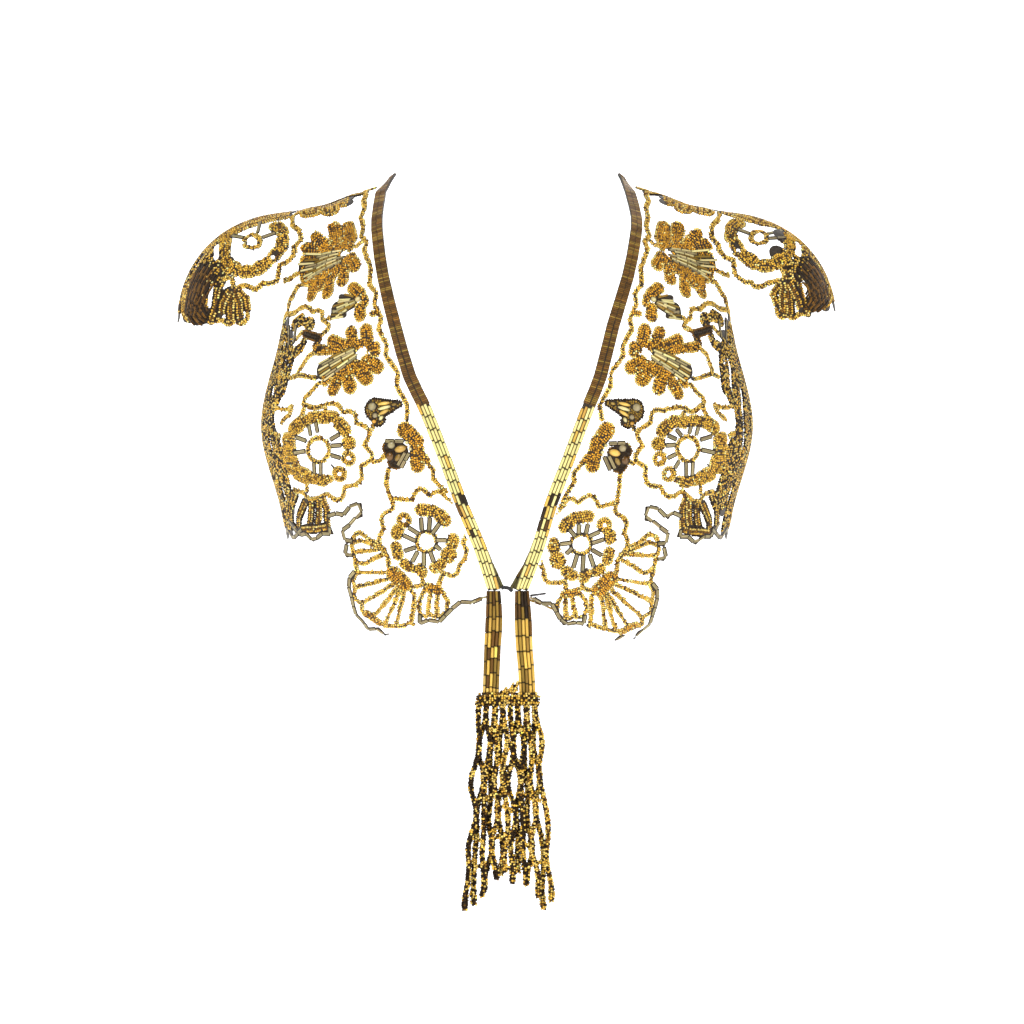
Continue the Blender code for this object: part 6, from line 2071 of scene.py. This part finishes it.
@dataclass
class Band:
    """Bugle bead neck band and the two straps below it."""

    finishes: Finishes
    ribbed_above: float = -156.0
    split_below: float = -98.0
    rib: float = 1.32
    columns: int = 4
    # Rows where the joints between bugles lie
    left_seams: Tuple[float, ...] = (404.5, 416.0, 429.0, 441.5, 456.0, 469.0, 481.0, 494.0,
                                     504.0, 517.0, 529.0, 536.0, 549.0, 562.0, 575.0, 589.5)
    right_seams: Tuple[float, ...] = (407.0, 419.5, 431.5, 443.5, 455.5, 468.5, 481.0, 494.5,
                                      506.0, 519.0, 530.0, 537.5, 551.0, 564.0, 577.0, 589.5)
    mixed_rows: Tuple[float, float] = (494.0, 536.0)
    left_strap: Tuple[float, ...] = (590.5, 603.0, 617.5, 632.0, 647.0, 660.0, 675.0, 687.0,
                                     696.5)
    right_strap: Tuple[float, ...] = (590.5, 606.0, 620.0, 636.0, 650.5, 667.0, 683.0, 696.5)

    def build(self, shapes: Dict[str, Shape]) -> List[bpy.types.Object]:
        """Make the band and the straps."""
        return [self.band(shapes), self.straps(shapes)]

    def band(self, shapes: Dict[str, Shape]) -> bpy.types.Object:
        """Columns of long bugles below and of thin cross ribs above."""
        random = Beading(False, 31)
        groups, cores = [], []
        for side in Side:
            tubes = Tubes()
            path, wide = BAND.course(side)
            line, run = run_length(dense(path, 1.2))
            width = np.interp(run, run_length(path)[1], wide)
            normal = FIGURE.normals(line, False)
            across = np.cross(normal, np.gradient(line, axis=0))
            across /= np.linalg.norm(across, axis=1, keepdims=True)
            flip = np.array((-1.0 if side is Side.RIGHT else 1.0, 1.0, 1.0))
            cores.append((line * flip, across * flip, normal * flip, width * 0.45))
            self.ribs(tubes, random, line, run, width, normal, across)
            for column in range(self.columns):
                share = (column + 0.5) / self.columns - 0.5
                self.column(tubes, random, side, line + across * (share * width)[:, None],
                            normal, width / self.columns / 2.0, column)
            groups.append(tubes.beads(random).mirrored(side is Side.RIGHT, False))
        piece = bead_mesh("neck_band_beads", [(shapes["tube"], Beads.joined(groups))],
                          self.finishes.tube)
        thread_core("neck_band_core", cores, 0.6, self.finishes.thread)
        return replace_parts(piece, "neck_band_left", "neck_band_right")

    def ribs(self, tubes: Tubes, random: Beading, line: Array, run: Array, width: Array,
             normal: Array, across: Array) -> None:
        """Thin ribs across the upper band, in two halves where it comes down the front."""
        spot = 0.0
        while spot < run[-1]:
            place = np.array([np.interp(spot, run, line[:, k]) for k in range(3)])
            side = np.array([np.interp(spot, run, across[:, k]) for k in range(3)])
            out = np.array([np.interp(spot, run, normal[:, k]) for k in range(3)])
            half = float(np.interp(spot, run, width)) / 2.0
            spot += self.rib
            if place[2] < self.ribbed_above:
                continue
            gap = 0.35 if place[2] < self.split_below else 0.1
            split = gap * 0.5 + 0.25 * random.random.normal() * (gap < 0.2)
            chance = random.random.random()
            tone = Tone.OLIVE if chance > 0.72 else Tone.BROWN if chance > 0.3 \
                else Tone.BRONZE
            for turn in (-1.0, 1.0):
                lean = way_lean(side, out) * 0.25 * turn
                ends = (place + side * (turn * gap + split), place + side * (turn * half) + lean)
                tubes.add(ends, out, (self.rib * 0.56, 1.1), tone)

    def column(self, tubes: Tubes, random: Beading, side: Side, line: Array, normal: Array,
               radius: Array, column: int) -> None:
        """One column of the lower band, its bugles jointed at the seam rows."""
        seams = self.right_seams if side is Side.RIGHT else self.left_seams
        heights = [(NECK_ROW - row) * STEP for row in seams]
        half = len(line) // 2
        for part in (slice(0, half), slice(half, len(line))):
            order = np.argsort(line[part, 2])
            z = line[part, 2][order]
            points, out, thick = line[part][order], normal[part][order], radius[part][order]
            shift = 1.1 * ((column % 2) - 0.5)
            for high, low in zip(heights, heights[1:]):
                tops = []
                for height in (high + shift - 0.25, max(low + shift, heights[-1]) + 0.25):
                    tops.append(np.array([np.interp(height, z, points[:, k]) for k in (0, 1)]
                                         + [height]))
                way = np.array([np.interp((high + low) / 2.0, z, out[:, k]) for k in range(3)])
                wide = float(np.interp((high + low) / 2.0, z, thick))
                tubes.add((tops[0], tops[1]), way, (wide * 1.06, 1.35),
                          self.tone(random, NECK_ROW - (high + low) / 2.0 / STEP))

    def tone(self, random: Beading, row: float) -> Tone:
        """Colour of a long bugle of the band at a row."""
        chance = random.random.random()
        if self.mixed_rows[0] < row < self.mixed_rows[1] and chance < 0.5:
            return Tone.DARK if chance < 0.15 else Tone.BROWN if chance < 0.32 else Tone.HONEY
        return Tone.HONEY if chance > 0.86 else Tone.PALE

    def straps(self, shapes: Dict[str, Shape]) -> bpy.types.Object:
        """Two bundles of bugles hanging from the band, jointed at the seam rows."""
        random = Beading(False, 41)
        rows = np.array([p.row for p in STRAPS])
        halves = np.array([p.half for p in STRAPS])
        groups, cores = [], []
        for side in Side:
            right = side is Side.RIGHT
            tubes = Tubes()
            mids = np.array([2.0 * AXIS_COLUMN - p.right_column if right else p.left_column
                             for p in STRAPS])
            seams = self.right_strap if right else self.left_strap
            level = np.linspace(seams[0] + 0.5, seams[-1] - 0.5, 12)
            line = [front_point(np.interp(row, rows, mids), row, strap_depth(side))
                    for row in level]
            flip = np.array((-1.0 if right else 1.0, 1.0, 1.0))
            cores.append((np.array(line) * flip, np.tile((1.0, 0.0, 0.0), (12, 1)),
                          np.tile((0.0, 1.0, 0.0), (12, 1)),
                          (np.interp(level, rows, halves) - 1.2) * STEP))
            for back in (False, True):
                for column in range(5):
                    share = (column + 0.5) / 5.0 * 2.0 - 1.0
                    jog = random.random.normal(0.0, 1.3, len(seams))
                    jog[0] = jog[-1] = 0.0
                    for k in range(len(seams) - 1):
                        ends = []
                        for row in (seams[k] + jog[k] + 0.3, seams[k + 1] + jog[k + 1] - 0.3):
                            at = np.interp(row, rows, mids) \
                                + share * (np.interp(row, rows, halves) - 0.2)
                            bow = 1.1 * math.sqrt(1.0 - share * share * 0.9)
                            depth = strap_depth(side) + (bow if back else -bow)
                            ends.append(np.array(front_point(at, row, depth)))
                        wide = float(np.interp(seams[k], rows, halves)) / 5.0 * STEP * 0.96
                        out = np.array((share * 0.5, 1.0 if back else -1.0, 0.0))
                        tubes.add((ends[0], ends[1]), out, (wide, wide),
                                  self.strap_tone(random, seams[k]))
            groups.append(tubes.beads(random).mirrored(right, False))
        piece = bead_mesh("strap_beads", [(shapes["tube"], Beads.joined(groups))],
                          self.finishes.tube)
        thread_core("strap_core", cores, 0.9, self.finishes.thread)
        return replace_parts(piece, "strap_left", "strap_right")

    def strap_tone(self, random: Beading, row: float) -> Tone:
        """Colour of one strap bugle."""
        chance = random.random.random()
        if row < 616.0:
            return Tone.DARK if chance < 0.3 else Tone.BROWN if chance < 0.8 else Tone.OLIVE
        if chance < 0.42:
            return Tone.HONEY
        return Tone.OLIVE if chance < 0.78 else Tone.BROWN if chance < 0.92 else Tone.STRAW

@dataclass
class Net:
    """Seeds of the fringe as they are strung, and the middle lines of the strings."""

    beading: Beading
    places: List[Array] = field(default_factory=list)
    along: List[Array] = field(default_factory=list)
    tones: List[Tone] = field(default_factory=list)
    lines: List[Array] = field(default_factory=list)

    def string(self, spots: Array, dusk: float) -> None:
        """Add one row of seeds, a share of them (dusk) near black."""
        self.places.append(spots)
        self.along.append(np.gradient(spots, axis=0))
        for chance in self.beading.random.random(len(spots)):
            share = (1.0 - chance) / (1.0 - dusk)
            self.tones.append(Tone.DARK if chance < dusk else Tone.STRAW if share < 0.5 else
                              Tone.GOLD if share < 0.85 else Tone.BRONZE)

    def beads(self, loose: float) -> Beads:
        """All seeds facing the front, each off its place by about loose mm."""
        spots = np.concatenate(self.places)
        spots = spots + self.beading.random.normal(0.0, loose, spots.shape)
        size = SEED_RADIUS * self.beading.random.normal(1.0, SIZE_SPREAD, (len(spots), 1))
        return Beads(spots, np.concatenate(self.along), np.tile(FORWARD, (len(spots), 1)),
                     np.hstack((size, size, size)), self.beading.colors(self.tones))


@dataclass
class Fringe:
    """Net of seed strings below the straps; rows and columns in layout steps."""

    finishes: Finishes
    head_row: float = 695.5
    wave: float = 1.9
    net: float = 34.0
    apart: float = 1.8
    # Two slower sways of a string: width, length and phase from string to string
    sways: Tuple[Tuple[float, float, float], ...] = ((1.5, 17.0, 2.1), (0.9, 8.3, 4.7))
    # Lengths in mm: of the swelling at the foot, between rows, and of the core's lag
    swell: float = 13.0
    beside: float = 1.3
    lag: float = 1.6
    depth: float = 3.4
    loose: float = 0.16
    head_half: float = 2.4
    # Columns and rows of the seeds that close the net's head
    head_columns: Tuple[float, float, float] = (480.0, 538.0, 2.45)
    head_rows: Tuple[float, float, float] = (-2.0, 8.0, 2.3)
    # Short strings between the strands and between the straps, foot and head
    links: Tuple[Tuple[Spot, Spot], ...] = (
        ((487.0, 731.0), (502.0, 726.0)), ((512.0, 733.0), (530.0, 728.0)),
        ((480.0, 764.0), (497.0, 770.0)), ((506.0, 768.0), (524.0, 760.0)),
        ((476.0, 801.0), (492.0, 796.0)), ((502.0, 806.0), (515.0, 812.0)),
        ((522.0, 795.0), (541.0, 801.0)), ((470.0, 836.0), (484.0, 842.0)),
        ((494.0, 838.0), (512.0, 832.0)), ((518.0, 842.0), (534.0, 848.0)),
        ((474.0, 868.0), (489.0, 862.0)), ((500.0, 866.0), (518.0, 870.0)),
        ((528.0, 866.0), (546.0, 860.0)),
        ((500.0, 697.0), (507.0, 688.0)), ((506.0, 697.0), (514.0, 684.0)),
        ((512.0, 697.0), (518.0, 682.0)), ((500.0, 693.0), (518.0, 689.0)),
    )

    def build(self, shapes: Dict[str, Shape]) -> List[bpy.types.Object]:
        """Make the beads and the thread core of the fringe."""
        net = Net(Beading(False, 51))
        self.strings(net)
        self.head(net)
        self.short_strings(net)
        beads = net.beads(self.loose)
        rear = Beads(beads.places + np.array((0.0, self.depth, 0.0)), beads.along, -beads.out,
                     beads.sizes, beads.colors)
        piece = bead_mesh("fringe_beads", [(shapes["seed"], beads)], self.finishes.seed)
        bead_mesh("fringe_beads_rear", [(shapes["plain_seed"], rear)], self.finishes.seed)
        lines = []
        for line in net.lines:
            way = np.gradient(line, axis=0)
            across = np.stack((-way[:, 2], 0.0 * way[:, 0], way[:, 0]), 1)
            across = across / np.linalg.norm(across, axis=1, keepdims=True)
            half = np.full(len(line), 1.6 if len(line) > 2 else 1.2)
            lines.append((line, across, np.tile(FORWARD, (len(line), 1)), half))
        thread_core("fringe_core", lines, 0.35, self.finishes.thread)
        return [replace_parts(piece, "fringe_left", "fringe_right")]

    def string(self, strand: FringeStrand, index: int) -> Array:
        """Middle line of one fringe string."""
        length = strand.foot_row - self.head_row
        count = max(8, round(length / (self.net / 2.0))) * 4
        depth = strap_depth(strand.side)
        path = []
        for k in range(count + 1):
            t = k / count
            row = self.head_row + length * t
            wave = self.wave * math.sin(math.pi * (row - self.head_row) / self.net)
            wave *= 1.0 if index % 2 else -1.0
            sway = sum(wide * math.sin((row - self.head_row) / long + phase * index)
                       for wide, long, phase in self.sways) * min(1.0, 3.0 * t)
            column = strand.head + (strand.foot - strand.head) * t + wave + sway
            away = self.apart if index % 2 else -self.apart
            path.append(front_point(column, row, depth + away * min(1.0, 4.0 * t + 0.3)))
        return np.array(path)

    def strings(self, net: Net) -> None:
        """Strings of seeds three abreast that hang from the straps."""
        index = {Side.LEFT: 0, Side.RIGHT: 0}
        for strand in FRINGE:
            line, run = run_length(dense(self.string(strand, index[strand.side])))
            index[strand.side] += 1
            foot = np.clip((run - run[-1] + self.swell) / self.swell, 0.0, 1.0)
            dusk = net.beading.random.uniform(0.25, 0.6)
            for turn in (-1.0, 0.0, 1.0):
                apart = turn * (self.beside + 0.5 * np.sin(math.pi * foot) - 0.8 * (foot > 0.96))
                side = line + apart[:, None] * np.array((1.0, 0.0, 0.0))
                if turn == 0.0:
                    side = side + np.array((0.0, -0.5, 0.0))
                    net.lines.append(side[::2] + np.array((0.0, self.lag, 0.0)))
                net.string(spaced(side, SEED_PITCH, start=net.beading.random.random()), dusk)
            top = line[run < 8.0]
            for shift in (-self.head_half, self.head_half):
                net.string(spaced(top + np.array((shift, 0.9, 0.0)), SEED_PITCH), 0.3)

    def head(self, net: Net) -> None:
        """Rows of seeds across the net's head."""
        first, last, step = self.head_rows
        for row in np.arange(self.head_row + first, self.head_row + last, step):
            spots = [front_point(column, row, strap_depth(Side.LEFT) - 2.6)
                     for column in np.arange(*self.head_columns)]
            net.string(np.array(spots), 0.35)

    def short_strings(self, net: Net) -> None:
        """Short strings two abreast between the long ones."""
        for ends in self.links:
            path = np.array([front_point(*end, strap_depth(Side.LEFT) - 2.0) for end in ends])
            for up in (-0.9, 0.9):
                net.string(spaced(path + np.array((0.0, 0.0, up)), SEED_PITCH), 0.35)
            net.lines.append(path + np.array((0.0, self.lag, 0.0)))


@dataclass
class Clasp:
    """Thin bugles beside the hook and on a loose end, with the cord and the wire."""

    finishes: Finishes
    ahead: float = 3.0
    radius: float = 0.75
    # column, row, next column, next row, tone
    bugles: Tuple[tuple, ...] = (
        (530.0, 597.5, 535.5, 600.0, Tone.GLASS), (529.5, 600.0, 535.0, 602.0, Tone.OLIVE),
        (535.5, 600.0, 541.0, 603.0, Tone.GLASS), (535.0, 602.5, 541.0, 604.5, Tone.BROWN),
        (541.5, 603.5, 547.0, 606.5, Tone.GLASS), (547.0, 606.5, 552.5, 609.0, Tone.OLIVE),
        (470.5, 603.0, 476.0, 600.5, Tone.GLASS), (476.0, 600.5, 481.5, 598.2, Tone.OLIVE),
        (481.5, 598.0, 486.5, 597.0, Tone.GLASS))

    def build(self, shapes: Dict[str, Shape]) -> List[bpy.types.Object]:
        """Make the bugles and finish the cord and the wire."""
        tubes = Tubes()
        depth = strap_depth(Side.LEFT) - self.ahead
        for *places, tone in self.bugles:
            ends = (np.array(front_point(*places[:2], depth)),
                    np.array(front_point(*places[2:], depth)))
            tubes.add(ends, np.array(FORWARD), (self.radius, self.radius), tone)
        pieces = [bead_mesh("clasp_bugles", [(shapes["tube"], tubes.beads(Beading(False, 61)))],
                            self.finishes.tube)]
        for name, finish in (("clasp_cord", self.finishes.cord),
                             ("clasp_hook", self.finishes.wire)):
            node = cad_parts[name]
            node.material_slots[0].material = finish
            pieces.append(node)
        return pieces


def way_lean(side: Array, out: Array) -> Array:
    """Direction along the band, from its sideways and outward directions."""
    return np.cross(side, out)


# The studio

@dataclass(frozen=True)
class Studio:
    """Camera, lights, floor and backdrop, in metres."""

    image: int = 1024
    middle_column: float = 512.0
    middle_row: float = 512.0
    camera_away: float = 3.0
    floor: float = -0.58

    def build(self) -> None:
        """Make the camera, lights, floor and backdrop."""
        self.camera()
        self.surfaces()
        self.light("key", (-0.7, -1.9, 0.9), 0.8, 27.0)
        self.light("fill", (1.5, -1.6, 0.1), 0.8, 9.0)
        self.light("top", (0.1, -0.3, 1.9), 1.0, 10.0)
        self.light("back", (0.3, 1.7, 0.8), 1.2, 14.0)
        world = bpy.data.worlds.new("studio")
        world.use_nodes = True
        world.node_tree.nodes["Background"].inputs[0].default_value = (0.95, 0.96, 1.0, 1.0)
        world.node_tree.nodes["Background"].inputs[1].default_value = 0.22
        bpy.context.scene.world = world
        bpy.context.scene.view_settings.view_transform = "Standard"

    def camera(self) -> None:
        """Level camera straight in front, with no perspective, framed as the layout grid."""
        data = bpy.data.cameras.new("front_view")
        data.type = "ORTHO"
        data.ortho_scale = self.image * STEP * METRE
        data.clip_end = 20.0
        camera = bpy.data.objects.new("front_view", data)
        camera.location = ((self.middle_column - AXIS_COLUMN) * STEP * METRE, -self.camera_away,
                           (NECK_ROW - self.middle_row) * STEP * METRE)
        camera.rotation_euler = (math.pi / 2.0, 0.0, 0.0)
        bpy.context.scene.collection.objects.link(camera)
        bpy.context.scene.camera = camera

    def surfaces(self) -> None:
        """Pale floor and backdrop."""
        nodes = Nodes("studio_white")
        grain = nodes.noise(6.0)
        tint = nodes.mixed(grain, (0.94, 0.94, 0.94, 1.0), (0.96, 0.96, 0.96, 1.0))
        normal = nodes.bump(nodes.noise(900.0), 0.05, 0.0005)
        material = nodes.principled(Base_Color=tint, Roughness=0.85 + grain * 0.1, Normal=normal,
                                    Emission_Color=(1.0, 1.0, 1.0, 1.0),
                                    Emission_Strength=0.9)
        deselect()
        bpy.ops.mesh.primitive_plane_add(size=12.0, location=(0.0, 0.0, self.floor))
        floor = bpy.context.active_object
        floor.name = "studio_floor"
        deselect()
        bpy.ops.mesh.primitive_plane_add(size=12.0, location=(0.0, 3.0, 2.0),
                                         rotation=(math.pi / 2.0, 0.0, 0.0))
        wall = bpy.context.active_object
        wall.name = "studio_backdrop"
        for item in (floor, wall):
            item.data.materials.append(material)

    def light(self, name: str, place: Tuple[float, float, float], size: float,
              power: float) -> None:
        """Soft square light aimed at the shawl."""
        data = bpy.data.lights.new(name, "AREA")
        data.size = size
        data.energy = power
        lamp = bpy.data.objects.new(name, data)
        lamp.location = place
        aim = Vector((0.0, 0.0, -0.2)) - Vector(place)
        lamp.rotation_euler = aim.to_track_quat("-Z", "Y").to_euler()
        bpy.context.scene.collection.objects.link(lamp)


def main() -> None:
    """Build the shawl and the studio."""
    logging.basicConfig(level=logging.INFO, format="%(name)s: %(message)s")
    shapes = {"seed": seed_shape(), "plain_seed": plain_seed_shape(), "tube": tube_shape(),
              "stone": stone_shape()}
    finishes = Finishes()
    for assembly in (Band, Fringe, Clasp, Lace):
        for piece in assembly(finishes).build(shapes):
            LOG.info("%s: %d faces", piece.name, len(piece.data.polygons))
    Studio().build()


if __name__ == "__main__":
    main()
